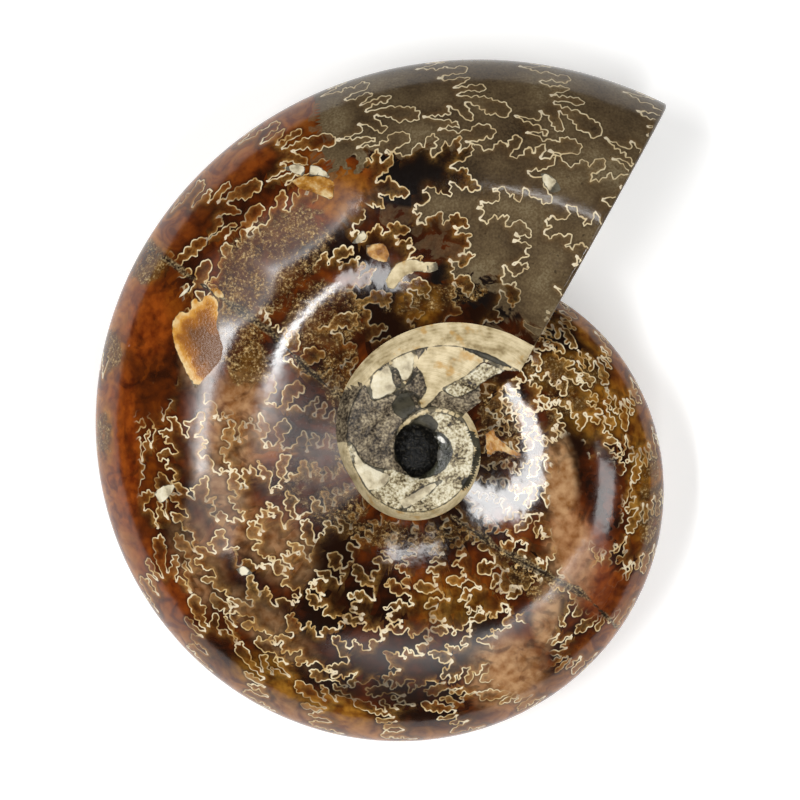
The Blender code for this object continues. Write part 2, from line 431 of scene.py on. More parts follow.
@dataclass(frozen=True)
class SutureShape:
    """One suture line on one flank, from the keel to the navel's edge.

    Each point is how far it lies towards the mouth, as a share of the chamber's length, and its
    share of the coil radius. Past the roll-over the second number goes on down to the keel's end.
    """

    spacing: float = math.radians(14.6)
    first_base: float = math.radians(82.0)
    keel_end: float = 1.045
    roll_over: float = 0.985
    points: tuple = (
        (-0.44, 1.045), (-0.55, 1.036), (-0.38, 1.030), (-0.58, 1.022), (-0.40, 1.015),
        (-0.50, 1.008), (-0.52, 1.000), (-0.68, 0.990), (-0.55, 0.984), (-0.47, 0.978),
        (-0.41, 0.986), (-0.33, 0.978), (-0.24, 0.986), (-0.18, 0.973), (-0.23, 0.960),
        (-0.35, 0.960), (-0.47, 0.951), (-0.35, 0.945), (-0.26, 0.950), (-0.16, 0.948),
        (-0.21, 0.937), (-0.32, 0.924), (-0.18, 0.927), (-0.05, 0.931), (0.02, 0.925),
        (-0.02, 0.913), (-0.15, 0.916), (-0.28, 0.905), (-0.14, 0.901), (0.01, 0.900),
        (0.16, 0.891), (0.25, 0.887), (0.32, 0.869), (0.30, 0.855), (0.24, 0.850),
        (0.16, 0.859), (0.09, 0.854), (0.03, 0.866), (-0.05, 0.877), (-0.19, 0.888),
        (-0.14, 0.869), (-0.07, 0.849), (-0.10, 0.839), (-0.18, 0.847), (-0.28, 0.870),
        (-0.38, 0.878), (-0.33, 0.861), (-0.42, 0.856), (-0.63, 0.859), (-0.48, 0.847),
        (-0.35, 0.843), (-0.22, 0.831), (-0.23, 0.823), (-0.32, 0.828), (-0.45, 0.821),
        (-0.32, 0.818), (-0.22, 0.809), (-0.17, 0.818), (-0.09, 0.814), (-0.05, 0.828),
        (0.06, 0.831), (0.16, 0.825), (0.20, 0.813), (0.18, 0.800), (0.09, 0.797),
        (0.03, 0.790), (-0.13, 0.788), (0.03, 0.779), (0.11, 0.768), (0.20, 0.770),
        (0.24, 0.787), (0.31, 0.792), (0.37, 0.781), (0.39, 0.802), (0.46, 0.811),
        (0.52, 0.803), (0.51, 0.783), (0.43, 0.766), (0.47, 0.755), (0.56, 0.763),
        (0.60, 0.780), (0.62, 0.790), (0.68, 0.776), (0.73, 0.794), (0.79, 0.801),
        (0.82, 0.787), (0.79, 0.768), (0.87, 0.769), (0.95, 0.781), (0.97, 0.760),
        (0.90, 0.747), (0.85, 0.738), (0.79, 0.739), (0.70, 0.725), (0.82, 0.718),
        (0.90, 0.725), (0.97, 0.703), (1.11, 0.684), (1.13, 0.672), (1.05, 0.664),
        (0.93, 0.675), (0.89, 0.668), (0.80, 0.682), (0.71, 0.691), (0.74, 0.661),
        (0.69, 0.653), (0.59, 0.670), (0.57, 0.661), (0.49, 0.678), (0.43, 0.682),
        (0.33, 0.675), (0.43, 0.662), (0.42, 0.648), (0.32, 0.640), (0.19, 0.642),
        (0.22, 0.631), (0.15, 0.625), (0.28, 0.618), (0.21, 0.602), (0.34, 0.591),
        (0.40, 0.608), (0.52, 0.608), (0.55, 0.617), (0.63, 0.614), (0.63, 0.588),
        (0.73, 0.596), (0.76, 0.608), (0.88, 0.610), (0.96, 0.600), (1.05, 0.591),
        (1.06, 0.581), (0.97, 0.577), (0.83, 0.580), (0.90, 0.569), (0.85, 0.560),
        (1.03, 0.564), (1.13, 0.558), (1.06, 0.544), (1.17, 0.538), (1.07, 0.526),
        (0.99, 0.509), (1.12, 0.516), (1.26, 0.514), (1.18, 0.500), (1.14, 0.487),
        (1.05, 0.481), (0.92, 0.496), (0.80, 0.497), (0.90, 0.480), (0.86, 0.466),
        (0.99, 0.456), (1.14, 0.465), (1.28, 0.453), (1.38, 0.438), (1.36, 0.424),
        (1.32, 0.412), (1.20, 0.420), (1.06, 0.436), (0.92, 0.441), (1.02, 0.418),
        (0.96, 0.400), (1.08, 0.388), (1.24, 0.376), (1.16, 0.366), (0.86, 0.362),
        (1.02, 0.350), (1.20, 0.346), (1.10, 0.332), (0.84, 0.330), (0.98, 0.318),
        (1.22, 0.312), (1.12, 0.300), (0.90, 0.298), (1.02, 0.284), (1.28, 0.276),
        (1.20, 0.264), (0.94, 0.262), (1.08, 0.248), (1.30, 0.240), (1.12, 0.226),
        (1.00, 0.220), (1.20, 0.206), (1.14, 0.190),
    )  # fmt: skip


@dataclass
class Sutures:
    """All suture lines of the last whorl, laid so that they sit right when seen from above."""

    section: Section
    shape: SutureShape
    pose: RestingPose
    count: int = 27
    first: int = -2
    sample: float = 0.0050
    inner_swing: float = 0.55
    crinkle_length: float = 1.85
    crinkle_height: float = 0.62
    sway: float = 0.035
    drift: float = 0.0045
    jitter: float = 0.012
    pole_pixel: tuple = (430.6, 463.3)

    def __post_init__(self) -> None:
        """Prepare the tables that turn a share of the coil radius into a place across."""
        section = self.section
        steps = np.linspace(0, 1, 400)
        self.flank_table = (section.flank_share(steps), steps)
        shoulder = cubic((0.0, 1.0), (section.edge_run, section.shoulder_fullness), steps)
        self.shoulder_table = (shoulder, steps)

    def across_at(self, keel: np.ndarray, share: np.ndarray) -> np.ndarray:
        """Place across the section at this share of the coil radius, counted as in the shape.

        Args:
            keel: Keel bearing of each point's row.
            share: Its share of the coil radius.

        Returns:
            The place across, from 0 at the navel's edge to 2 at the keel.
        """
        shape, section = self.shape, self.section
        edge = section.surface(keel, np.zeros_like(keel))[:, :2]
        edge_share = np.linalg.norm(edge, axis=1) / section.coil.radius(keel)
        on_flank = 1 + np.interp(share, *self.flank_table)
        rolled = 1 + np.interp(shape.roll_over, *self.flank_table)
        past = (share - shape.roll_over) / (shape.keel_end - shape.roll_over)
        over_keel = rolled + past * (2 - rolled)
        inward = (share - edge_share) / (section.crest_at - edge_share)
        on_shoulder = np.interp(inward, *self.shoulder_table)
        across = np.where(share > shape.roll_over, over_keel, on_flank)
        return np.where(share < section.crest_at, on_shoulder, across)

    def keel_bearing(self, bearing: np.ndarray, share: np.ndarray) -> np.ndarray:
        """Keel bearing of the row on which a point at this bearing and share lies.

        Args:
            bearing: Bearing of each point.
            share: Its share of the coil radius.

        Returns:
            The keel bearings.
        """
        coil = self.section.coil
        keel = bearing
        for _ in range(4):
            radius = np.minimum(share, 1.0) * coil.radius(bearing)
            offset = coil.cut_bearing(radius) - coil.cut_bearing(coil.radius(keel))
            keel = bearing - coil.pull(keel) * offset
        return keel

    def lines(self, coarse: float = 1.0) -> list:
        """Every line as rows of (keel bearing, place across), its points this much wider apart."""
        self.tips: list = []
        self.random = np.random.default_rng(SEED)
        numbers = range(self.first, self.first + self.count)
        return [self.line(number, self.sample * coarse) for number in numbers]

    def sharp_tips(self) -> np.ndarray:
        """Which points of the shape are tips of lobes: the line turns back sharply there."""
        points = np.array(self.shape.points) * np.array([self.shape.spacing * 0.8, 1.0])
        before = normalized(points[1:-1] - points[:-2])
        after = normalized(points[2:] - points[1:-1])
        turns = np.sum(before * after, axis=1) < -0.25
        away = (points[1:-1, 0] < points[:-2, 0]) & (points[1:-1, 0] < points[2:, 0])
        return np.concatenate([[False], turns & away, [False]])

    def line(self, number: int, sample: float) -> np.ndarray:
        """One line, a little different from the next.

        Args:
            number: Its number, counted from the mouth.
            sample: Spacing of its points.

        Returns:
            Rows of (keel bearing, place across the section).
        """
        shape = self.shape
        points = np.array(shape.points)
        phase = self.random.uniform(0, math.tau, 4)
        noise = self.random.normal(0, 1, points.shape)
        wild = float(smooth(np.float64((number - 1) / 3)))
        share = points[:, 1]
        near = smooth((0.50 - share) / 0.12)
        trend = np.convolve(np.pad(points[:, 0], 9, mode="edge"), np.full(19, 1 / 19), "valid")
        inner = wild * smooth((0.66 - share) / 0.1)
        points[:, 0] += self.inner_swing * inner * (points[:, 0] - trend)
        towards = points[:, 0] + wild * (
            self.sway * (1 + 3 * near) * np.sin(share * 31 + phase[0])
            + 0.6 * self.sway * np.sin(share * 67 + phase[1])
            + self.jitter * (1 + 4 * near) * noise[:, 0]
        )
        share = share + wild * (
            self.drift * np.sin(share * 23 + phase[2])
            + 0.12 * self.jitter * noise[:, 1] * (share < 0.99)
        )
        share[0] = shape.keel_end
        base = shape.first_base + shape.spacing * number
        bearing = base - shape.spacing * towards
        rows = self.settle(bearing, share)
        gone = np.flatnonzero(rows[:, 1] < 0.001)
        last = gone[0] if len(gone) else len(rows) - 1
        rows[last, 0] = rows[last - 1, 0]
        self.tips.append(rows[: last + 1][self.sharp_tips()[: last + 1]])
        rows = rows[: last + 1]
        return self.crinkled(spline(rows, np.array([0.8, 0.35]), sample))

    def crinkled(self, rows: np.ndarray) -> np.ndarray:
        """The line with small scallops, rounded towards the mouth and pinched away from it.

        Args:
            rows: Rows of (keel bearing, place across) along the smooth line.

        Returns:
            The scalloped line's rows.
        """
        surface = self.section.surface
        points = surface(rows[:, 0], rows[:, 1])
        step = 1e-3
        per_bearing = np.linalg.norm(surface(rows[:, 0] + step, rows[:, 1]) - points, axis=1) / step
        per_across = np.linalg.norm(surface(rows[:, 0], rows[:, 1] - step) - points, axis=1) / step
        measure = np.column_stack([per_bearing, per_across])
        way = normalized(np.gradient(rows, axis=0) * measure)
        aside = np.column_stack([way[:, 1], -way[:, 0]])
        length = np.concatenate([[0], np.cumsum(np.linalg.norm(np.diff(points, axis=0), axis=1))])
        phase = self.random.uniform(0, math.tau, 3)
        turns = length / self.crinkle_length + 0.22 * np.sin(length / 1.9 + phase[0])
        height = 1 + 0.45 * np.sin(length / 2.7 + phase[1]) + 0.3 * np.sin(length / 1.3 + phase[2])
        share = smooth(rows[:, 1] / 0.05) * smooth((2 - rows[:, 1]) / 0.06)
        bulge = self.crinkle_height * share * height * (np.abs(np.sin(math.pi * turns)) - 0.6)
        rows = rows + aside * bulge[:, None] / np.maximum(measure, 1.0)
        return np.column_stack([rows[:, 0], np.minimum(rows[:, 1], 2.0)])

    def rows_at(self, pixels: np.ndarray) -> np.ndarray:
        """Rows of (keel bearing, place across) seen at these pixels of the photograph."""
        away = from_pixels(pixels) - from_pixels([self.pole_pixel])[0]
        bearing = np.arctan2(away[:, 1], away[:, 0])
        coil = self.section.coil
        bearing = np.where(bearing < coil.mouth, bearing + math.tau, bearing)
        return self.settle(bearing, np.linalg.norm(away, axis=1) / coil.radius(bearing))

    def settle(self, bearing: np.ndarray, share: np.ndarray) -> np.ndarray:
        """Rows of the surface that are seen from above at these places round the coil's pole.

        Args:
            bearing: Bearing of each place, as seen.
            share: Its distance from the pole, as a share of the coil radius.

        Returns:
            Rows of (keel bearing, place across the section).
        """
        coil, roll_over = self.section.coil, self.shape.roll_over
        way = unit(bearing)
        target = (share * coil.radius(bearing))[:, None] * way
        guess = target.copy()
        seen = target + from_pixels([self.pole_pixel])[0]
        trust = smooth((roll_over - share) / 0.03)[:, None]
        for _ in range(4):
            aside = way[:, 0] * guess[:, 1] - way[:, 1] * guess[:, 0]
            here = bearing + np.arctan2(aside, np.sum(way * guess, axis=1))
            seen_share = np.linalg.norm(guess, axis=1) / coil.radius(here)
            part = np.where(share > roll_over, share, seen_share)
            keel = self.keel_bearing(here, part)
            rows = np.column_stack([keel, self.across_at(keel, part)])
            actual = self.pose.place(self.section.surface(rows[:, 0], rows[:, 1]))[:, :2]
            held = (rows[:, 1] > 0.001)[:, None]
            guess += trust * held * (seen - actual)
        return rows


def spline(points: np.ndarray, scale: np.ndarray, sample: float) -> np.ndarray:
    """A rounded line through these points.

    Args:
        points: The points, one per row.
        scale: How large a step along each column counts.
        sample: Spacing of the new points, in the scaled measure.

    Returns:
        The points of the rounded line.
    """
    slack = 0.85
    ends = np.vstack([2 * points[0] - points[1], points, 2 * points[-1] - points[-2]])
    out = []
    for before, start, end, after in zip(ends, ends[1:], ends[2:], ends[3:]):
        length = np.linalg.norm((end - start) * scale)
        steps = max(int(round(length / sample)), 1)
        t = (np.arange(steps) / steps)[:, None]
        leave = (end - before) / 2 * slack
        arrive = (after - start) / 2 * slack
        out.append(
            (2 * t**3 - 3 * t**2 + 1) * start
            + (t**3 - 2 * t**2 + t) * leave
            + (3 * t**2 - 2 * t**3) * end
            + (t**3 - t**2) * arrive
        )
    out.append(points[-1:])
    return np.concatenate(out)


def thinned(points: np.ndarray, gap: float) -> np.ndarray:
    """Which points to keep so that no two lie closer than the gap.

    Args:
        points: Flat points, one per row.
        gap: Least distance between two that are kept.

    Returns:
        A mask over the points.
    """
    keep = np.zeros(len(points), dtype=bool)
    cells: dict = {}
    for number, (x, y) in enumerate(points):
        cell = (int(x // gap), int(y // gap))
        near = (
            other
            for i in (-1, 0, 1)
            for j in (-1, 0, 1)
            for other in cells.get((cell[0] + i, cell[1] + j), ())
        )
        if any((points[o][0] - x) ** 2 + (points[o][1] - y) ** 2 < gap * gap for o in near):
            continue
        keep[number] = True
        cells.setdefault(cell, []).append(number)
    return keep


def edges_of(triangles: np.ndarray) -> np.ndarray:
    """Each edge of the triangles once, as the numbers of its two ends."""
    return np.unique(np.sort(triangles[:, [0, 1, 1, 2, 2, 0]].reshape(-1, 2)), axis=0)


def stretches(points: np.ndarray, kept: np.ndarray) -> list:
    """The unbroken stretches of a line whose points are kept, each of two points or more."""
    ends = np.flatnonzero(np.diff(np.concatenate([[0], kept.astype(int), [0]])))
    return [points[start:end] for start, end in zip(ends[::2], ends[1::2]) if end - start > 1]


def even_grid(flat: np.ndarray, step: float) -> np.ndarray:
    """Points at even steps over the box round flat ones, every other row shifted by half a step.

    Args:
        flat: The points whose box is filled.
        step: Spacing in a row; rows lie this times ROW_SHARE apart.

    Returns:
        The points of the grid, row by row.
    """
    low, high = flat.min(0), flat.max(0)
    across = np.arange(low[0], high[0], step)
    x, y = np.meshgrid(across, np.arange(low[1], high[1], step * ROW_SHARE))
    x = x + (np.arange(len(y)) % 2)[:, None] * step / 2
    return np.column_stack([x.ravel(), y.ravel()])


def inside(points: np.ndarray, outline: np.ndarray) -> np.ndarray:
    """Which flat points lie inside a closed outline."""
    x, y = points[:, 0], points[:, 1]
    result = np.zeros(len(points), dtype=bool)
    for (x0, y0), (x1, y1) in zip(outline, np.roll(outline, -1, axis=0)):
        if y0 != y1:
            result ^= ((y0 > y) != (y1 > y)) & (x < x0 + (y - y0) * (x1 - x0) / (y1 - y0))
    return result


def tree_of(points: np.ndarray) -> KDTree:
    """A search tree over points in space or in a plane."""
    tree = KDTree(len(points))
    for number, point in enumerate(points):
        tree.insert((point[0], point[1], point[2] if len(point) > 2 else 0.0), number)
    tree.balance()
    return tree


def gaps(tree: KDTree, points: np.ndarray) -> np.ndarray:
    """Distance from each point to the nearest one in the tree."""
    solid = points if points.shape[1] > 2 else np.column_stack([points, np.zeros(len(points))])
    return np.array([tree.find(point)[2] for point in solid])


@dataclass(frozen=True)
class Zone:
    """A patch with a sharp outline, placed by pixels of the photograph.

    Its outline shows as an edge where a point of it is left of, or above, the pixel in faded.
    """

    fill: Fill
    outline: tuple
    level: float = 0.0
    on_wall: bool = False
    faded: tuple = (9999, 9999)
    unevenness: float = 0.22

    def curve(self, step: float) -> np.ndarray:
        """Its closed outline in pixels, rounded and a little uneven."""
        points = np.array(self.outline + self.outline[:1], dtype=float)
        line = spline(points, np.array([1.0, 1.0]), step)
        random = np.random.default_rng(len(line) + SEED)
        return (line + random.normal(0, self.unevenness, line.shape))[:-1]


@dataclass
class Skin:
    """Part of the finished surface: points, triangles, and what each of them carries."""

    points: np.ndarray
    triangles: np.ndarray
    on_points: dict
    on_faces: dict

    def mirrored(self) -> "Skin":
        """The same part on the other side of the median plane."""
        return Skin(
            self.points * np.array([1, 1, -1]),
            self.triangles[:, ::-1],
            dict(self.on_points),
            dict(self.on_faces),
        )


@dataclass
class WhorlSkin:
    """The upper half of the last whorl, from the navel seam to the keel, with its sutures.

    Coarse is how much wider apart its points lie than on the upper flank.
    """

    section: Section
    sutures: Sutures
    zones: tuple = ()
    coarse: float = 1.0
    along_scale: float = 0.8
    band_scale: tuple = (0.05, 0.25, 0.53)
    grid: float = 0.0165
    seam_step: float = 0.011
    clear_of_line: float = 0.0046
    beside_line: float = 0.0068
    mud_steps: tuple = (0.2, 0.42, 1.28)
    mud_ends: tuple = (272, 330)
    navel_side: float = 1.05
    zone_step: float = 2.0

    def __post_init__(self) -> None:
        """Widen the spacings of a coarse skin."""
        self.grid *= self.coarse
        self.clear_of_line *= self.coarse
        self.log = log.getChild("whorl")

    @property
    def box(self) -> tuple:
        """Ends of the map: left, right, low and high."""
        coil, (wall, shoulder, flank) = self.section.coil, self.band_scale
        sides = coil.mouth * self.along_scale, coil.inner * self.along_scale
        return (*sides, -wall, shoulder + flank)

    def flat(self, rows: np.ndarray) -> np.ndarray:
        """Map coordinates of rows of (keel bearing, place across)."""
        wall, shoulder, flank = self.band_scale
        across = rows[:, 1]
        height = (
            np.minimum(across, 0) * wall
            + np.clip(across, 0, 1) * shoulder
            + np.maximum(across - 1, 0) * flank
        )
        return np.column_stack([rows[:, 0] * self.along_scale, height])

    def rows(self, flat: np.ndarray) -> np.ndarray:
        """Rows of (keel bearing, place across) at map coordinates."""
        wall, shoulder, flank = self.band_scale
        height = flat[:, 1]
        across = (
            np.minimum(height, 0) / wall
            + np.clip(height / shoulder, 0, 1)
            + np.maximum(height - shoulder, 0) / flank
        )
        return np.column_stack([flat[:, 0] / self.along_scale, np.clip(across, -1, 2)])

    def frame_lines(self) -> list:
        """Edges of the map and the navel's edge, as polylines with points at even steps.

        Returns:
            The polylines, in map coordinates.
        """
        left, right, low, high = self.box
        rounding = self.section.rim_rounding / self.section.coil.mouth_radius
        lips = [left + rounding * share for share in (0.3, 0.8)]
        step = self.seam_step
        ups = np.linspace(low, high, int((high - low) / step) + 1)
        ups[np.abs(ups).argmin()] = 0.0
        ups[np.abs(ups - self.band_scale[1]).argmin()] = self.band_scale[1]
        lines = [np.column_stack([np.full_like(ups, x), ups]) for x in (left, *lips, right)]
        for height, spacing in ((low, 0.45), (0.0, 0.55), (high, 1.0)):
            alongs = np.linspace(left, right, int((right - left) / step / spacing * 0.62) + 1)
            lines.append(np.column_stack([alongs, np.full_like(alongs, height)]))
        return lines

    def clipped(self, line: np.ndarray, margin: float = 0.003, above: float = 0.002) -> list:
        """The stretches of a line that lie inside the map."""
        left, right, _, _ = self.box
        within = (line[:, 0] > left + margin) & (line[:, 0] < right - margin)
        return stretches(line, within & (line[:, 1] > above))

    def filler(self) -> np.ndarray:
        """Loose points at even steps over the map.

        Returns:
            Their map coordinates.
        """
        left, right, low, high = self.box
        out = []
        for number, height in enumerate(np.arange(low + self.grid * 0.6, high, self.grid * 0.87)):
            share = 0.34 + 0.24 * np.clip(height / self.band_scale[1], 0, 1)
            share += 0.42 * np.clip((height - self.band_scale[1]) / self.band_scale[2], 0, 1)
            step = self.grid * self.along_scale / share
            alongs = np.arange(left + step * (0.5 + 0.5 * (number % 2)), right - step * 0.4, step)
            out.append(np.column_stack([alongs, np.full_like(alongs, height)]))
        return np.concatenate(out)

    def build(self) -> tuple:
        """Triangulate the half whorl and measure every point against the sutures.

        Returns:
            The skin, and the rows of (keel bearing, place across) of its points.
        """
        frame_lines = self.frame_lines()
        pieces = []
        for number, line in enumerate(self.sutures.lines(self.coarse)):
            pieces += [(number, part) for part in self.clipped(self.flat(line))]
        outlines = [zone.curve(self.zone_step * self.coarse) for zone in self.zones]
        curves = [self.flat(self.sutures.rows_at(outline)) for outline in outlines]
        drawn = [
            curve[(outline <= zone.faded).any(axis=1)]
            for zone, outline, curve in zip(self.zones, outlines, curves)
        ]
        for curve in curves:
            frame_lines += self.clipped(np.vstack([curve, curve[:1]]))
        ink = np.concatenate([part for _, part in pieces])
        beside = []
        for _, part in pieces:
            way = normalized(np.gradient(part, axis=0))
            normal = np.column_stack([-way[:, 1], way[:, 0]]) * self.beside_line * self.coarse
            beside += [part + normal, part - normal]
        fixed = np.concatenate(frame_lines + [ink])
        extra = self.clear(np.concatenate(beside + [self.filler()]), fixed)
        middles = np.empty((0, 2))
        for _ in range(2):
            chart = Chart()
            for line in frame_lines:
                chart.add_line(line, -1)
            for number, part in pieces:
                chart.add_line(part, number)
            chart.add_points(np.concatenate([extra, middles]))
            flat, triangles, fixed_edges = chart.triangulate()
            middles = self.long_bridges(flat, triangles, fixed_edges)
        rows = self.rows(flat)
        points = self.section.surface(rows[:, 0], rows[:, 1])
        self.log.info("%d points, %d triangles on one flank", len(points), len(triangles))
        skin = Skin(points, triangles, {}, {})
        self.measure(skin, flat, pieces, fixed_edges)
        self.fill(skin, rows, flat, curves, drawn)
        return skin, rows

    def fill(
        self, skin: Skin, rows: np.ndarray, flat: np.ndarray, curves: list, drawn: list
    ) -> None:
        """Say what each face is made of.

        Args:
            skin: The skin to fill in.
            rows: Keel bearing and place across of each point.
            flat: Map coordinates of each point.
            curves: Outlines of the zones on the map.
            drawn: The parts of them that show as an edge.
        """
        centre = flat[skin.triangles].mean(axis=1)
        on_wall = rows[skin.triangles, 1].max(axis=1) < 1e-6
        fills = np.where(on_wall, Fill.SHELL.value, Fill.CALCITE.value)
        places = self.sutures.pose.place(skin.points[skin.triangles].mean(axis=1))[:, :2]
        for zone in NAVEL_ZONES:
            if zone.on_wall:
                fills[on_wall & inside(places, from_pixels(zone.outline))] = zone.fill.value
        edge_gap = np.full(len(flat), FAR)
        for zone, curve in zip(self.zones, curves):
            fills[inside(centre, curve)] = zone.fill.value
        if curves:
            marks = self.rows(np.concatenate(drawn))
            tree = tree_of(self.section.surface(marks[:, 0], marks[:, 1]))
            edge_gap = gaps(tree, skin.points)
        wall = self.section.wall_width(rows[:, 0])
        on_band = rows[:, 1] < 1e-6
        edge_gap[on_band] = 0.001 + (rows[:, 1] + 1)[on_band] * wall[on_band]
        skin.on_points["edge_gap"] = np.minimum(edge_gap, FAR)
        skin.on_points["growth"] = rows[:, 1] * wall + 6.0 * np.sin(rows[:, 0])
        skin.on_points["inward"] = self.navel_side - rows[:, 1]
        skin.on_faces["fill"] = fills.astype(float)
        reach = np.array([FAR, *(self.navel_side - step for step in self.mud_steps), -FAR])
        chamber = skin.on_faces["chamber"].astype(int)
        last = len(reach) - 1
        none, full = from_pixels([(x, 0) for x in self.mud_ends])[:, 0]
        cleared = 4.0 * smooth((full - places[:, 0]) / (full - none)) * (chamber > 1)
        skin.on_faces["mud_reach"] = reach[np.clip(chamber, 0, last)] - cleared
        skin.on_faces["half_reach"] = reach[np.clip(chamber - 1, 0, last)] - cleared

    def clear(self, loose: np.ndarray, fixed: np.ndarray) -> np.ndarray:
        """Loose points that keep clear of the lines, of the map's edges and of each other.

        Args:
            loose: Points that may stay.
            fixed: Points of the lines and of the map's edges.

        Returns:
            The points that stay.
        """
        left, right, low, high = self.box
        margin, lip = 0.004, 0.009
        within = (loose[:, 0] > left + lip) & (loose[:, 0] < right - margin)
        within &= (loose[:, 1] > low + margin) & (loose[:, 1] < high - margin)
        loose = loose[within]
        loose = loose[gaps(tree_of(fixed), loose) > self.clear_of_line]
        return loose[thinned(loose, self.clear_of_line)]

    def long_bridges(self, flat: np.ndarray, triangles: np.ndarray, fixed: dict) -> np.ndarray:
        """Middles of long edges that join two points of suture lines across open ground.

        Args:
            flat: Map coordinates of each point.
            triangles: The triangles between them.
            fixed: Fixed edges of the map.

        Returns:
            The middles, in map coordinates.
        """
        on_line = np.zeros(len(flat), dtype=bool)
        for (start, end), (line, _) in fixed.items():
            if line >= 0:
                on_line[[start, end]] = True
        pairs = edges_of(triangles)
        pairs = pairs[on_line[pairs].all(axis=1)]
        length = np.linalg.norm(flat[pairs[:, 0]] - flat[pairs[:, 1]], axis=1)
        pairs = pairs[length > self.clear_of_line * 1.15]
        pairs = pairs[np.array([tuple(pair) not in fixed for pair in pairs], dtype=bool)]
        return (flat[pairs[:, 0]] + flat[pairs[:, 1]]) / 2

    def measure(self, skin: Skin, flat: np.ndarray, pieces: list, fixed: dict) -> None:
        """Give every point its distance to the sutures, and every face its chamber and side.

        Args:
            skin: The skin to fill in.
            flat: Map coordinates of each point.
            pieces: The suture lines on the map, with their numbers.
            fixed: Fixed edges of the map.
        """
        ink = []
        for _, part in pieces:
            fine = np.empty((2 * len(part) - 1, 2))
            fine[::2] = part
            fine[1::2] = (part[1:] + part[:-1]) / 2
            ink.append(fine)
        ink_rows = self.rows(np.concatenate(ink))
        ink_points = self.section.surface(ink_rows[:, 0], ink_rows[:, 1])
        tree = tree_of(ink_points)
        gap = gaps(tree, skin.points)
        for (start, _), (line, _) in fixed.items():
            if line >= 0:
                gap[start] = 0.0
        skin.on_points["line_gap"] = np.minimum(gap, FAR)
        tips = np.concatenate(self.sutures.tips)
        tips = tips[(tips[:, 0] > self.section.coil.mouth) & (tips[:, 0] < self.section.coil.inner)]
        tip_gap = gaps(tree_of(self.section.surface(tips[:, 0], tips[:, 1])), skin.points)
        skin.on_points["tip"] = np.exp(-((tip_gap / 0.9) ** 2))
        skin.on_faces["chamber"], skin.on_faces["apical"] = self.sides(
            flat[skin.triangles].mean(axis=1), pieces
        )

    def sides(self, places: np.ndarray, pieces: list) -> tuple:
        """Which chamber each place lies in, told by its side of the nearest suture.

        Args:
            places: Map coordinates.
            pieces: The suture lines on the map, with their numbers.

        Returns:
            The chamber's number, and whether the place is on the apical side of that line.
        """
        before = np.concatenate([np.vstack([part[:1], part[:-1]]) for _, part in pieces])
        here = np.concatenate([part for _, part in pieces])
        after = np.concatenate([np.vstack([part[1:], part[-1:]]) for _, part in pieces])
        number = np.concatenate([np.full(len(part), number) for number, part in pieces])
        tree = tree_of(here)
        nearest = np.array([tree.find((x, y, 0))[1] for x, y in places])
        away, outward = [], []
        for start, end in ((before[nearest], here[nearest]), (here[nearest], after[nearest])):
            way = end - start
            size = np.maximum(np.sum(way * way, axis=1), 1e-12)
            share = np.clip(np.sum((places - start) * way, axis=1) / size, 0, 1)
            away.append(np.linalg.norm(places - start - share[:, None] * way, axis=1))
            outward.append(normalized(np.column_stack([-way[:, 1], way[:, 0]])))
        lean = np.clip((away[1] - away[0]) * 1e7, -1, 1)[:, None]
        normal = outward[0] * (1 + lean) + outward[1] * (1 - lean)
        apical = np.sum((places - here[nearest]) * normal, axis=1) > 0
        return number[nearest] - 1.0 + apical, apical.astype(float)


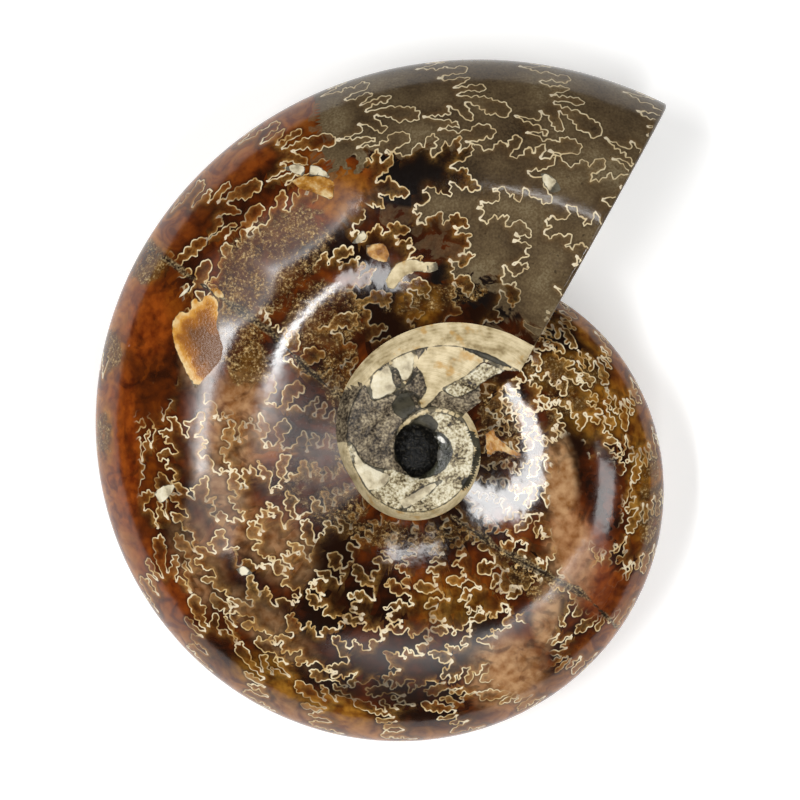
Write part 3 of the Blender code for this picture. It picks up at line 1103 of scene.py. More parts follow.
NAVEL_ZONES = (
    Zone(Fill.SILT, (
        (397, 430), (407, 419), (418, 412), (430, 408), (452, 411), (467, 420), (479, 435),
        (484, 455), (479, 474), (473, 486), (458, 500), (439, 512), (420, 519), (400, 519),
        (378, 514), (360, 500), (345, 482), (338, 460), (336, 442), (352, 443), (366, 463),
        (393, 469), (395, 450),
    ), 0.1),
    Zone(Fill.GRIT, (
        (347, 389), (360, 383), (371, 390), (374, 400), (386, 397), (397, 394), (406, 390),
        (415, 397), (420, 407), (406, 419), (396, 430), (395, 443), (396, 458), (406, 474),
        (393, 469), (378, 468), (366, 463), (357, 452), (351, 443), (332, 441), (331, 428),
        (335, 400),
    ), 0.0, True),
    Zone(Fill.SHELL, (
        (361, 379), (381, 370), (393, 360), (412, 351), (418, 360), (413, 372), (406, 384),
        (399, 390), (386, 396), (374, 400), (369, 393), (366, 386),
    ), 0.1),
    Zone(Fill.FLAKE, (
        (394, 361), (412, 353), (413, 367), (410, 377), (403, 381), (397, 374), (390, 370),
    ), 0.15),
    Zone(Fill.FLAKE, (
        (371, 382), (374, 376), (381, 370), (389, 365), (392, 370), (395, 382), (399, 388),
        (386, 396), (374, 400), (370, 393),
    ), 0.2),
    Zone(Fill.GRIT, ((391, 370), (396, 369), (401, 378), (400, 388), (394, 384)), -0.2),
    Zone(Fill.GRIT, (
        (410, 382), (418, 373), (422, 376), (424, 385), (421, 398), (412, 392), (399, 392),
    ), -0.1),
    Zone(Fill.OLIVE, (
        (397, 397), (406, 392), (415, 405), (412, 413), (406, 419), (397, 415), (392, 406),
    ), 0.0),
    Zone(Fill.SHELL, (
        (484, 448), (481, 434), (470, 419), (452, 410), (430, 407), (417, 411), (406, 419),
        (397, 431), (401, 432), (410, 423), (420, 416), (431, 412), (450, 415), (465, 424),
        (476, 437), (480, 448),
    ), 0.25),
    Zone(Fill.SHELL, (
        (433, 346), (450, 343), (467, 344), (482, 350), (496, 357), (510, 363), (518, 365),
        (515, 371), (502, 370), (488, 364), (481, 363), (473, 370), (464, 377), (453, 383),
        (446, 388), (438, 394), (430, 403), (424, 408), (419, 406), (418, 401), (423, 396),
        (426, 388), (423, 376), (416, 366), (418, 360), (424, 351),
    ), 0.3),
    Zone(Fill.SILT, (
        (482, 363), (493, 366), (503, 371), (493, 376), (482, 383), (473, 390), (461, 396),
        (452, 396), (443, 389), (453, 383), (464, 377), (473, 370),
    ), 0.1),
    Zone(Fill.OLIVE, (
        (446, 344), (462, 344), (478, 348), (494, 354), (508, 360), (518, 362), (521, 365),
        (514, 368), (501, 366), (488, 361), (475, 355), (461, 349),
    ), -0.2),
    Zone(Fill.OLIVE, (
        (466, 429), (473, 432), (479, 441), (480, 453), (475, 473), (469, 484), (462, 491),
        (462, 480), (471, 474), (473, 458), (475, 449), (470, 437),
    ), -0.1, True),
    Zone(Fill.OLIVE, (
        (418, 417), (427, 414), (435, 420), (438, 426), (433, 432), (427, 428), (418, 425),
        (410, 425),
    ), 0.0),
    Zone(Fill.FLAKE, (
        (353, 445), (363, 460), (371, 466), (381, 471), (389, 475), (387, 483), (377, 488),
        (366, 489), (358, 475), (354, 458),
    ), 0.15),
    Zone(Fill.FLAKE, (
        (400, 500), (414, 492), (428, 484), (442, 480), (430, 492), (416, 502), (404, 508),
    ), 0.1),
    Zone(Fill.OLIVE, ((429, 513), (440, 508), (452, 500), (462, 491), (455, 501), (441, 512)), 0.0),
    Zone(Fill.PIT, (
        (396, 436), (403, 427), (412, 424), (424, 426), (434, 432), (438, 444), (438, 457),
        (433, 467), (424, 475), (413, 477), (404, 470), (397, 460), (394, 448),
    ), 0.0),
    Zone(Fill.GLASS, (
        (434, 431), (443, 434), (449, 441), (452, 450), (450, 460), (445, 468), (438, 473),
        (427, 477), (419, 478), (433, 467), (438, 457), (438, 444),
    ), 0.0),
    # Painted highlights on the pit's glassy crescent
    Zone(Fill.GLINT, ((434, 436), (441, 436), (447, 443), (442, 443), (438, 440)), 0.0),
    Zone(Fill.GLINT, ((438, 449), (442, 451), (441, 458), (437, 460)), 0.0),
)  # fmt: skip


@dataclass(frozen=True)
class SmallSutures:
    """Crinkled suture lines of the whorl before, where it shows inside the navel."""

    starts: tuple = ((437, 407), (452, 408), (464, 415), (478, 421), (484, 438), (487, 458))
    ends: tuple = ((447, 393), (470, 389), (489, 383), (505, 385), (514, 405), (518, 436))
    wiggles: float = 3.4
    reach: float = 4.6

    def curves(self) -> list:
        """The lines in pixels.

        Returns:
            One array of points for each line.
        """
        random = np.random.default_rng(SEED + 3)
        out = []
        for start, end in zip(self.starts, self.ends):
            start, end = np.array(start, float), np.array(end, float)
            way = end - start
            length = float(np.linalg.norm(way))
            aside = np.array([-way[1], way[0]]) / length
            share = np.linspace(0, 1, int(length * 1.1) + 4)
            turns = share * length / 36 * self.wiggles * math.tau
            phase = random.uniform(0, math.tau)
            sway = np.sin(turns + phase) + 0.45 * np.sin(2.7 * turns + 2 * phase)
            back = 0.3 * np.cos(2 * turns + phase)
            line = start + way * share[:, None] + aside * (self.reach * sway)[:, None]
            out.append(line + way / length * (self.reach * back)[:, None])
        return out


@dataclass
class NavelSkin:
    """The middle of one flank, inside the last whorl's seam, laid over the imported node's navel.

    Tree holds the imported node's faces, in metres. Coarse is how much wider apart the points lie
    than on the upper flank. Heights are in millimetres: a ray starts from seen_from or look_from,
    and where it meets nothing, usual_level or usual_height stands in.
    """

    section: Section
    pose: RestingPose
    tree: BVHTree
    coarse: float = 1.0
    grid: float = 0.62
    outline_step: float = 2.0
    rim_margin: float = 0.4
    rise_width: float = 0.4
    grit_until: int = 430
    smoothing: int = 5
    seen_from: float = 100.0
    look_from: float = 60.0
    usual_height: float = 8.0
    usual_level: float = 30.0

    def __post_init__(self) -> None:
        """Widen the spacings of a coarse skin."""
        self.grid *= self.coarse
        self.outline_step *= self.coarse
        self.log = log.getChild("navel")

    def under(self, pixels: np.ndarray) -> np.ndarray:
        """Plan positions in the upright coil of what is seen at these pixels.

        Args:
            pixels: Points in pixels of the photograph.

        Returns:
            The positions, in millimetres.
        """
        out = []
        for x, y in from_pixels(pixels):
            start = Vector((x * MM, y * MM, self.seen_from * MM))
            hit, _, _, _ = self.tree.ray_cast(start, Vector((0, 0, -1)))
            height = self.usual_level if hit is None else hit.z / MM
            out.append(self.pose.upright(np.array([x, y, height]))[:2])
        return np.array(out)

    def clipped(self, curve: np.ndarray, loop: np.ndarray) -> list:
        """The stretches of a curve that lie well inside the loop."""
        clear = gaps(tree_of(loop[:, :2]), curve) > self.rim_margin
        return stretches(curve, inside(curve, loop[:, :2]) & clear)

    def build(self, loop: np.ndarray, flank: Flank) -> Skin:
        """Fill the loop of seam points.

        Args:
            loop: The seam in order, upright coil, upper side.
            flank: The flank it is for.

        Returns:
            The skin of the navel, upright coil, on its own side.
        """
        rim = np.vstack([loop[:, :2], loop[:1, :2]])
        curves = [self.under(zone.curve(self.outline_step)) for zone in NAVEL_ZONES]
        lines = [self.under(line) for line in SmallSutures().curves()]
        chart = Chart()
        chart.add_line(rim, 0)
        fixed = [loop[:, :2]]
        for curve in curves:
            for part in self.clipped(np.vstack([curve, curve[:1]]), loop):
                chart.add_line(part, 1)
                fixed.append(part)
        inked = [part for line in lines for part in self.clipped(line, loop)]
        for part in inked:
            chart.add_line(part, 2)
        loose = even_grid(loop[:, :2], self.grid)
        loose = loose[inside(loose, loop[:, :2])]
        loose = loose[gaps(tree_of(np.concatenate(fixed + inked)), loose) > self.grid * 0.5]
        chart.add_points(loose)
        flat, triangles = chart.enclosed()
        skin = Skin(np.empty(0), triangles, {}, {})
        self.fill(skin, flat, curves, fixed, inked)
        self.shape(skin, flat, loop, curves, flank)
        self.log.info("%s navel: %d triangles", flank.name.lower(), len(triangles))
        if flank is Flank.LOWER:
            skin.triangles = triangles[:, ::-1]
        return skin

    def fill(
        self, skin: Skin, flat: np.ndarray, curves: list, fixed: list, inked: list
    ) -> None:
        """Say what each face is made of, and how far each point is from the outlines.

        Args:
            skin: The skin to fill in.
            flat: Plan positions of its points.
            curves: Outlines of the zones.
            fixed: The seam, and the outlines as far as they lie inside it.
            inked: The small suture lines.
        """
        middle = flat[skin.triangles].mean(axis=1)
        grit_side = middle[:, 0] < from_pixels([(self.grit_until, 0)])[0, 0]
        fills = np.where(grit_side, Fill.GRIT.value, Fill.CALCITE.value)
        for zone, curve in zip(NAVEL_ZONES, curves):
            fills[inside(middle, curve)] = zone.fill.value
        skin.on_faces["fill"] = fills.astype(float)
        core = np.array(self.section.coil.core)
        away = flat - core
        chamber = 40 + np.floor(np.arctan2(middle[:, 1] - core[1], middle[:, 0] - core[0]) * 3)
        skin.on_faces["chamber"] = chamber
        skin.on_faces["apical"] = np.ones(len(middle))
        for name, marks in (("edge_gap", fixed), ("line_gap", inked)):
            skin.on_points[name] = np.minimum(gaps(tree_of(np.concatenate(marks)), flat), FAR)
        spiral = 0.55 * np.arctan2(away[:, 1], away[:, 0])
        skin.on_points["growth"] = np.linalg.norm(away, axis=1) + spiral
        skin.on_points["inward"] = np.full(len(flat), 0.9)

    def shape(
        self, skin: Skin, flat: np.ndarray, loop: np.ndarray, curves: list, flank: Flank
    ) -> None:
        """Give the skin its heights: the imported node's, smoothed, with each zone's own level.

        Args:
            skin: The skin to shape.
            flat: Plan positions of its points.
            loop: The seam, upright coil, upper side.
            curves: Outlines of the zones.
            flank: The flank it is for.
        """
        height = self.heights(flat, flank)
        tree = tree_of(loop[:, :2])
        rim = np.zeros(len(flat), dtype=bool)
        for number, (x, y) in enumerate(flat):
            _, nearest, gap = tree.find((x, y, 0))
            if gap < 1e-4:
                height[number] = loop[nearest][2]
                rim[number] = True
        pairs = edges_of(skin.triangles)
        count = np.bincount(pairs.ravel(), minlength=len(flat))
        for _ in range(self.smoothing):
            total = np.bincount(pairs[:, 0], height[pairs[:, 1]], len(flat))
            total += np.bincount(pairs[:, 1], height[pairs[:, 0]], len(flat))
            height = np.where(rim, height, 0.4 * height + 0.6 * total / count)
        level = np.zeros(len(flat))
        grain = np.zeros(len(flat))
        rough = {Fill.PIT: 0.32, Fill.GRIT: 0.14, Fill.SILT: 0.07}
        for zone, curve in zip(NAVEL_ZONES, curves):
            here = inside(flat, curve)
            level[here] = zone.level
            grain[here] = rough.get(zone.fill, 0.0)
        rise = smooth(skin.on_points["edge_gap"] / self.rise_width)
        random = np.random.default_rng(SEED + 5)
        height += (level + grain * random.normal(0, 1, len(flat))) * rise * ~rim
        skin.points = np.column_stack([flat, height * flank.value])

    def heights(self, flat: np.ndarray, flank: Flank) -> np.ndarray:
        """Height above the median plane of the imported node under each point.

        Args:
            flat: Plan positions of the points.
            flank: The flank that they lie on.

        Returns:
            The heights, in millimetres.
        """
        above = np.full(len(flat), self.look_from * flank.value)
        starts = self.pose.place(np.column_stack([flat, above]))
        way = self.pose.turn @ np.array([0.0, 0.0, -flank.value])
        height = np.full(len(flat), self.usual_height)
        for number, start in enumerate(starts):
            hit, _, _, distance = self.tree.ray_cast(Vector(start * MM), Vector(way))
            if hit is not None:
                height[number] = self.look_from - distance / MM
        return height


@dataclass
class SawCutSkin:
    """The flat sawn mouth, with a ring of points that marks its thin shell wall."""

    section: Section
    grid: float = 1.3
    wall: float = 0.75

    def build(self, outline: np.ndarray) -> Skin:
        """Fill the outline of the mouth.

        Args:
            outline: Its points in order, all in the saw plane.

        Returns:
            The skin of the cut.
        """
        way = unit(np.float64(self.section.coil.saw_bearing))
        along = outline[:, :2] @ way
        flat = np.column_stack([along, outline[:, 2]])
        chart = Chart()
        chart.add_line(np.vstack([flat, flat[:1]]), 0)
        loose = even_grid(flat, self.grid)
        tree = tree_of(flat)
        round_rim = normalized(np.roll(flat, -1, axis=0) - np.roll(flat, 1, axis=0))
        inward = np.column_stack([-round_rim[:, 1], round_rim[:, 0]]) * self.wall
        ring = np.vstack([flat + inward, flat - inward])
        ring = ring[gaps(tree, ring) > self.wall * 0.97]
        chart.add_points(ring[thinned(ring, self.wall * 0.4)])
        chart.add_points(loose[gaps(tree, loose) > self.wall + self.grid * 0.5])
        mapped, triangles = chart.enclosed()
        aside = np.array([-way[1], way[0]])
        offset = float(np.mean(outline[:, :2] @ aside))
        plan = mapped[:, :1] * way + aside * offset
        points = np.column_stack([plan, mapped[:, 1]])
        gap = gaps(tree, mapped)
        on_faces = {"cut": 1.0, "apical": gap[triangles].max(axis=1) < self.wall * 1.2}
        return Skin(points, triangles, {"line_gap": gap}, on_faces)


@dataclass(frozen=True)
class Patch:
    """A soft-edged oval of one tone on the surface.

    Its middle is in pixels of the photograph, its half lengths are in millimetres and its turn is in
    degrees.
    """

    x: float
    y: float
    length: float
    width: float
    turn: float = 0.0
    strength: float = 1.0

    def weight(self, places: np.ndarray) -> np.ndarray:
        """How strongly each place, in millimetres in plan, shows the patch."""
        turn = math.radians(self.turn)
        away = places - from_pixels([(self.x, self.y)])[0]
        along = (away[:, 0] * math.cos(turn) + away[:, 1] * math.sin(turn)) / self.length
        aside = (away[:, 1] * math.cos(turn) - away[:, 0] * math.sin(turn)) / self.width
        reach = np.sqrt(along**2 + aside**2)
        return self.strength * smooth((1.35 - reach) / 0.7)


@dataclass(frozen=True)
class FlankTones:
    """Where the tones of the upper flank lie, each a row of the numbers of its patches."""

    soot: tuple = (
        (400, 100, 7, 5, 40), (408, 178, 10, 7, -10), (450, 178, 10, 7, -20),
        (362, 140, 6, 5, 0, 0.9), (470, 288, 9, 5, -15), (505, 300, 8, 4, -20, 0.8),
    )  # fmt: skip
    gold: tuple = (
        (160, 195, 5, 14, -45), (205, 150, 4, 12, -50, 0.9), (150, 262, 4, 5, -45),
        (345, 200, 6, 6, 0, 0.5), (452, 600, 8, 5, 0, 0.45), (565, 372, 8, 4, 0, 0.9),
        (600, 410, 8, 6, 0, 0.8), (645, 480, 4, 14, 0, 0.9), (590, 330, 3, 7, 35, 0.8),
        (270, 680, 8, 5, -30, 0.8), (335, 712, 8, 4, -15, 0.8), (112, 350, 3, 6, 0, 0.8),
        (106, 435, 2, 7, 0, 0.9), (253, 370, 3, 4, -20, 1.0), (420, 305, 5, 4, 0, 0.6),
    )  # fmt: skip
    rust: tuple = (
        (142, 315, 7, 10, 20), (245, 158, 12, 5, 38, 0.8), (175, 225, 8, 5, 50, 0.6),
        (120, 440, 5, 24, 3), (300, 215, 12, 6, 30, 0.8), (345, 175, 7, 9, 0, 0.7),
        (160, 580, 6, 12, 30, 0.6), (585, 560, 6, 14, 20, 0.7), (240, 270, 8, 5, 30, 0.5),
        (620, 600, 7, 7, 0, 0.6),
    )  # fmt: skip
    # Milky tan of the calcite, and painted sheen: the light rim band and the beige lower right
    # panels
    tan: tuple = (
        (183, 656, 14, 2.6, -48, 0.8), (290, 714, 14, 2.4, -25, 0.45),
        (390, 735, 13, 2.0, -7, 0.3), (558, 480, 3.4, 10, 4, 1.0), (568, 550, 5, 10, 8, 0.8),
        (545, 610, 3, 8, -5, 0.9), (505, 672, 8, 8, 20, 1.0), (228, 500, 5, 12, 25, 0.7),
        (280, 545, 6, 9, 40, 0.6), (200, 560, 5, 10, 20, 0.5), (270, 625, 12, 4, -40, 0.5),
        (205, 345, 4, 9, -10, 0.9), (238, 425, 7, 11, -10, 0.85),
    )  # fmt: skip
    umber: tuple = (
        (575, 318, 7, 6, -40), (540, 350, 5, 8, -20, 0.7), (505, 440, 6, 16, 0, 0.8),
        (420, 535, 14, 3, 5, 0.7), (325, 470, 5, 12, 10, 0.8), (400, 300, 12, 5, 15, 0.8),
        (290, 560, 8, 6, 0, 0.6), (340, 255, 7, 4, 0, 0.7), (440, 238, 9, 6, 0, 1.0),
        (380, 635, 24, 13, 0, 0.75), (400, 555, 26, 6, 5, 0.75), (430, 318, 20, 5, 12, 0.9),
        (330, 440, 5, 20, 5, 0.8), (480, 500, 10, 10, 0, 0.7), (230, 480, 6, 10, 0, 0.4),
        (470, 715, 20, 4, 8, 0.6), (200, 640, 6, 12, 40, 0.6), (420, 690, 14, 3, 0, 0.6),
        (560, 430, 6, 5, 0, 0.6),
    )  # fmt: skip
    moss: tuple = (
        (272, 265, 15, 9, 40), (325, 318, 9, 8, 20), (238, 330, 6, 8, 0), (252, 366, 5, 5, 0, 0.9),
        (340, 375, 5, 7, 0, 0.9), (385, 532, 12, 3, -8, 0.9), (440, 536, 10, 3, 12, 0.8),
        (500, 420, 5, 10, 0, 0.7), (340, 505, 7, 6, 0, 0.8), (435, 300, 12, 3, 10, 0.7),
        (113, 350, 2.5, 5, 0, 0.9), (106, 435, 2, 6, 0, 0.8), (565, 372, 9, 4, 0, 0.9),
        (650, 510, 3, 13, 0, 0.8), (530, 575, 9, 4, -35, 0.8), (148, 262, 5, 5, -45, 0.9),
        (560, 400, 7, 5, 0, 0.6), (340, 430, 3, 12, 0, 0.6), (300, 480, 8, 6, 0, 0.5),
    )  # fmt: skip
    bare: tuple = (
        (150, 330, 9, 20, 0), (120, 470, 5, 22, 0, 0.9), (570, 500, 5, 16, 0),
        (600, 500, 5, 12, 0, 0.8), (240, 360, 9, 12, 0, 0.9), (270, 270, 12, 8, 35, 0.9),
        (345, 190, 6, 8, 0, 0.9), (310, 300, 9, 7, 20, 0.8), (310, 230, 10, 5, 30, 0.8),
        (520, 660, 8, 8, 0, 0.8), (540, 610, 4, 7, 0, 0.9), (600, 590, 7, 7, 0, 0.7),
        (385, 690, 14, 4, 0, 0.6), (340, 560, 10, 5, -20, 0.5),
    )  # fmt: skip
    dull: tuple = (
        (295, 228, 14, 6, 35), (236, 285, 8, 8, 60), (215, 510, 6, 9, -10, 0.9),
        (530, 640, 13, 7, 40, 0.6), (582, 588, 11, 6, 62, 0.6), (207, 400, 5, 16, 0, 0.25),
        (306, 456, 12, 19, 0, 0.45), (420, 662, 26, 9, 3, 0.6),
    )  # fmt: skip

    def painted(self, name: str, places: np.ndarray) -> np.ndarray:
        """How strongly each place shows the tone of this name."""
        return np.max([Patch(*row).weight(places) for row in getattr(self, name)], axis=0)


FLANK_ZONES = (
    Zone(Fill.SEPTUM, (
        (175, 330), (176, 322), (183, 313), (190, 314), (194, 310), (194, 303), (199, 299),
        (203, 303), (207, 298), (215, 297), (221, 303), (221, 314), (219, 326), (223, 338),
        (226, 350), (223, 361), (215, 371), (206, 380), (199, 388), (193, 380), (187, 368),
        (181, 355), (177, 343),
    ), faded=(202, 314)),
    Zone(Fill.SPUR, ((213, 291), (219, 289), (226, 294), (227, 300), (220, 299))),
    Zone(Fill.FLAKE, ((284, 171), (296, 168), (306, 171), (304, 179), (294, 176))),
    Zone(Fill.SPUR, (
        (293, 185), (300, 181), (311, 179), (323, 180), (335, 187), (333, 203), (317, 197),
        (302, 192),
    )),
    Zone(Fill.FLAKE, ((311, 179), (312, 169), (323, 172), (331, 181), (322, 180))),
    Zone(Fill.FLAKE, ((353, 246), (363, 234), (368, 240), (360, 246))),
    Zone(Fill.SPUR, ((367, 248), (384, 247), (390, 262), (382, 264), (368, 258))),
    Zone(Fill.FLAKE, ((182, 299), (187, 292), (193, 287), (190, 294))),
    Zone(Fill.SPUR, (
        (484, 434), (492, 429), (495, 435), (502, 441), (510, 448), (521, 454), (517, 458),
        (504, 452), (494, 451), (487, 456),
    )),
    Zone(Fill.FLAKE, ((157, 492), (166, 485), (177, 484), (173, 494), (163, 502))),
    Zone(Fill.FLAKE, ((238, 567), (246, 564), (254, 571), (244, 573))),
    Zone(Fill.FLAKE, (
        (538, 178), (545, 179), (553, 185), (557, 194), (549, 197), (543, 192), (540, 186),
    )),
    Zone(Fill.SHELL, (
        (386, 283), (391, 273), (398, 265), (412, 262), (425, 265), (435, 265), (437, 272),
        (427, 275), (414, 274), (404, 279), (399, 285), (394, 291), (388, 289),
    )),
)  # fmt: skip
FRACTURES = (
    ((139, 240), (182, 270), (223, 299), (274, 334), (310, 371), (347, 402)),
    ((452, 516), (494, 545), (513, 556), (560, 580), (584, 594), (612, 622), (646, 656)),
)


def gap_to_fractures(places: np.ndarray) -> np.ndarray:
    """Distance in plan from each place to the nearer of the two glued fractures.

    Args:
        places: Places in plan, in millimetres.

    Returns:
        The distances, in millimetres.
    """
    best = np.full(len(places), np.inf)
    for line in FRACTURES:
        corners = from_pixels(line)
        for start, way in zip(corners, np.diff(corners, axis=0)):
            share = np.clip(((places - start) @ way) / (way @ way), 0, 1)
            away = np.linalg.norm(places - start - share[:, None] * way, axis=1)
            best = np.minimum(best, away)
    return best


@dataclass
class AmmoniteMesh:
    """The whole visible shell as one closed mesh."""

    name: str = "polished_shell"
    coarse: float = 2.1
    sharp_from: float = 0.35
    weld_within: float = 2e-6
    lower_strength: float = 0.8

    def __post_init__(self) -> None:
        """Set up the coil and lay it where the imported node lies."""
        self.section = Section()
        self.pose = RestingPose(self.section, *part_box(NODE))
        self.sutures = Sutures(self.section, SutureShape(), self.pose)
        self.log = log.getChild("mesh")

    def node_tree(self) -> BVHTree:
        """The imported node's faces."""
        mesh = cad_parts[NODE].data
        vertices = [vertex.co for vertex in mesh.vertices]
        return BVHTree.FromPolygons(vertices, [list(face.vertices) for face in mesh.polygons])

    def build(self, materials: list) -> bpy.types.Object:
        """Make the mesh object.

        Args:
            materials: Finish of the whorl, of the navel and of the saw cut.

        Returns:
            The object, in metres, at rest.
        """
        whorl, rows = WhorlSkin(self.section, self.sutures, FLANK_ZONES).build()
        lower, _ = WhorlSkin(self.section, self.sutures, (), self.coarse).build()
        coil = self.section.coil
        tolerance = 1e-5
        seam = rows[:, 1] < -1 + tolerance
        mouth = np.abs(rows[:, 0] - coil.mouth) < tolerance
        inner = np.abs(rows[:, 0] - coil.inner) < tolerance
        seam_points = whorl.points[seam][np.argsort(rows[seam, 0])]
        inner_order = np.argsort(rows[inner, 1])
        inner_points = whorl.points[inner][inner_order]
        inner_across = rows[inner, 1][inner_order]
        mouth_points = whorl.points[mouth][np.argsort(rows[mouth, 1])]
        slope = inner_points[(inner_across > -1 + tolerance) & (inner_across < 1 - tolerance)]
        loop = np.vstack([seam_points, slope])
        under = inner_points[inner_across > 1 - tolerance]
        flip = np.array([1, 1, -1])
        lower_mouth = (mouth_points[1:-1] * flip)[::-1]
        outline = np.vstack([mouth_points[1:], lower_mouth, under[:-1] * flip, under[::-1]])
        tree = self.node_tree()
        skins = [
            whorl,
            lower.mirrored(),
            NavelSkin(self.section, self.pose, tree).build(loop, Flank.UPPER),
            NavelSkin(self.section, self.pose, tree, self.coarse).build(loop, Flank.LOWER),
            SawCutSkin(self.section).build(outline),
        ]
        return self.joined(skins, materials)

    def joined(self, skins: list, materials: list) -> bpy.types.Object:
        """Weld the parts into one closed mesh with its attributes.

        Args:
            skins: The parts, upright coil.
            materials: The finishes, in order of the parts' material numbers.

        Returns:
            The object.
        """
        points = np.concatenate([skin.points for skin in skins])
        offsets = np.cumsum([0] + [len(skin.points) for skin in skins])
        triangles = [skin.triangles + offset for skin, offset in zip(skins, offsets)]
        placed = self.pose.place(points)
        placed[:, 2] = np.maximum(placed[:, 2], 0.0)
        mesh = bpy.data.meshes.new(self.name)
        mesh.from_pydata(placed * MM, [], np.concatenate(triangles).tolist())
        for material in materials:
            mesh.materials.append(material)
        numbers = [
            np.full(len(skin.triangles), 2) if "cut" in skin.on_faces else skin.on_faces["fill"] > 0
            for skin in skins
        ]
        mesh.polygons.foreach_set("material_index", np.concatenate(numbers).astype(np.int32))
        self.paint(mesh, skins, placed, points)
        mesh.shade_smooth()
        mesh.update()
        self.weld(mesh)
        body = bpy.data.objects.new(self.name, mesh)
        bpy.context.scene.collection.objects.link(body)
        self.log.info("%s: %d triangles", self.name, len(mesh.polygons))
        return body

    def weld(self, mesh: bpy.types.Mesh) -> None:
        """Join the parts along their shared rims and mark the sharp edges.

        Args:
            mesh: The mesh to mend.
        """
        work = bmesh.new()
        work.from_mesh(mesh)
        rims = [vertex for vertex in work.verts if vertex.is_boundary]
        bmesh.ops.remove_doubles(work, verts=rims, dist=self.weld_within)
        bmesh.ops.recalc_face_normals(work, faces=work.faces)
        open_edges = sum(1 for edge in work.edges if not edge.is_manifold)
        for edge in work.edges:
            numbers = {face.material_index for face in edge.link_faces}
            folded = edge.calc_face_angle(0.0) > self.sharp_from
            edge.smooth = len(numbers) == 1 or (numbers == {0, 1} and not folded)
        work.to_mesh(mesh)
        work.free()
        self.log.info("%d open edges", open_edges)

    def paint(
        self, mesh: bpy.types.Mesh, skins: list, placed: np.ndarray, points: np.ndarray
    ) -> None:
        """Store what the finishes read: distances to lines and where the tones lie.

        Args:
            mesh: The mesh that carries it.
            skins: The parts.
            placed: All points at rest, in millimetres.
            points: All points, upright coil.
        """
        tones = FlankTones()
        places = placed[:, :2]
        upper = points[:, 2] > -0.01
        values = {
            "line_gap": np.concatenate([skin.on_points["line_gap"] for skin in skins]),
            "fracture_gap": np.minimum(gap_to_fractures(places), FAR),
        }
        for name in POINT_VALUES:
            values[name] = np.concatenate(
                [skin.on_points.get(name, np.zeros(len(skin.points))) for skin in skins]
            )
        for name in TONES:
            seen = tones.painted(name, places)
            values[name] = np.where(upper, seen, seen * self.lower_strength)
        for name in FACE_VALUES:
            values[name] = np.concatenate(
                [skin.on_faces.get(name, np.zeros(len(skin.triangles))) for skin in skins]
            )
        for name, value in values.items():
            domain = "FACE" if name in FACE_VALUES else "POINT"
            attribute = mesh.attributes.new(name, "FLOAT", domain)
            attribute.data.foreach_set("value", value.astype(np.float32))


def linear(colour: str) -> tuple:
    """Scene-linear colour of an sRGB hex code, with full alpha."""
    channels = [int(colour[at : at + 2], 16) / 255 for at in (1, 3, 5)]
    return tuple(
        c / 12.92 if c <= 0.04045 else ((c + 0.055) / 1.055) ** 2.4 for c in channels
    ) + (1.0,)


def scale_for(size: float) -> float:
    """Scale of a noise whose lumps are about this many millimetres across."""
    return 1 / (size * MM)


class Kind(Enum):
    """Kinds of shader node: type, the settings that go with it, and the output that is used."""

    STORED = ("Attribute", {}, "Fac")
    PLACE = ("TexCoord", {}, "Object")
    CHANCE = ("TexWhiteNoise", {"noise_dimensions": "1D"}, "Value")
    NOISE = ("TexNoise", {}, "Fac")
    SPREAD = ("MapRange", {"interpolation_type": "SMOOTHSTEP"}, "Result")
    RAMP = ("ValToRGB", {}, "Color")
    BLEND = ("Mix", {"data_type": "RGBA"}, "Result_Color")
    BUMP = ("Bump", {}, "Normal")
    PLUS = ("Math", {"operation": "ADD"}, "Value")
    MINUS = ("Math", {"operation": "SUBTRACT"}, "Value")
    TIMES = ("Math", {"operation": "MULTIPLY"}, "Value")
    TIMES_PLUS = ("Math", {"operation": "MULTIPLY_ADD"}, "Value")
    LARGER = ("Math", {"operation": "MAXIMUM"}, "Value")
    POWER = ("Math", {"operation": "POWER"}, "Value")
    SINE = ("Math", {"operation": "SINE"}, "Value")
    SIZE = ("Math", {"operation": "ABSOLUTE"}, "Value")
    SAME = ("Math", {"operation": "COMPARE"}, "Value")
    ABOVE = ("Math", {"operation": "GREATER_THAN"}, "Value")


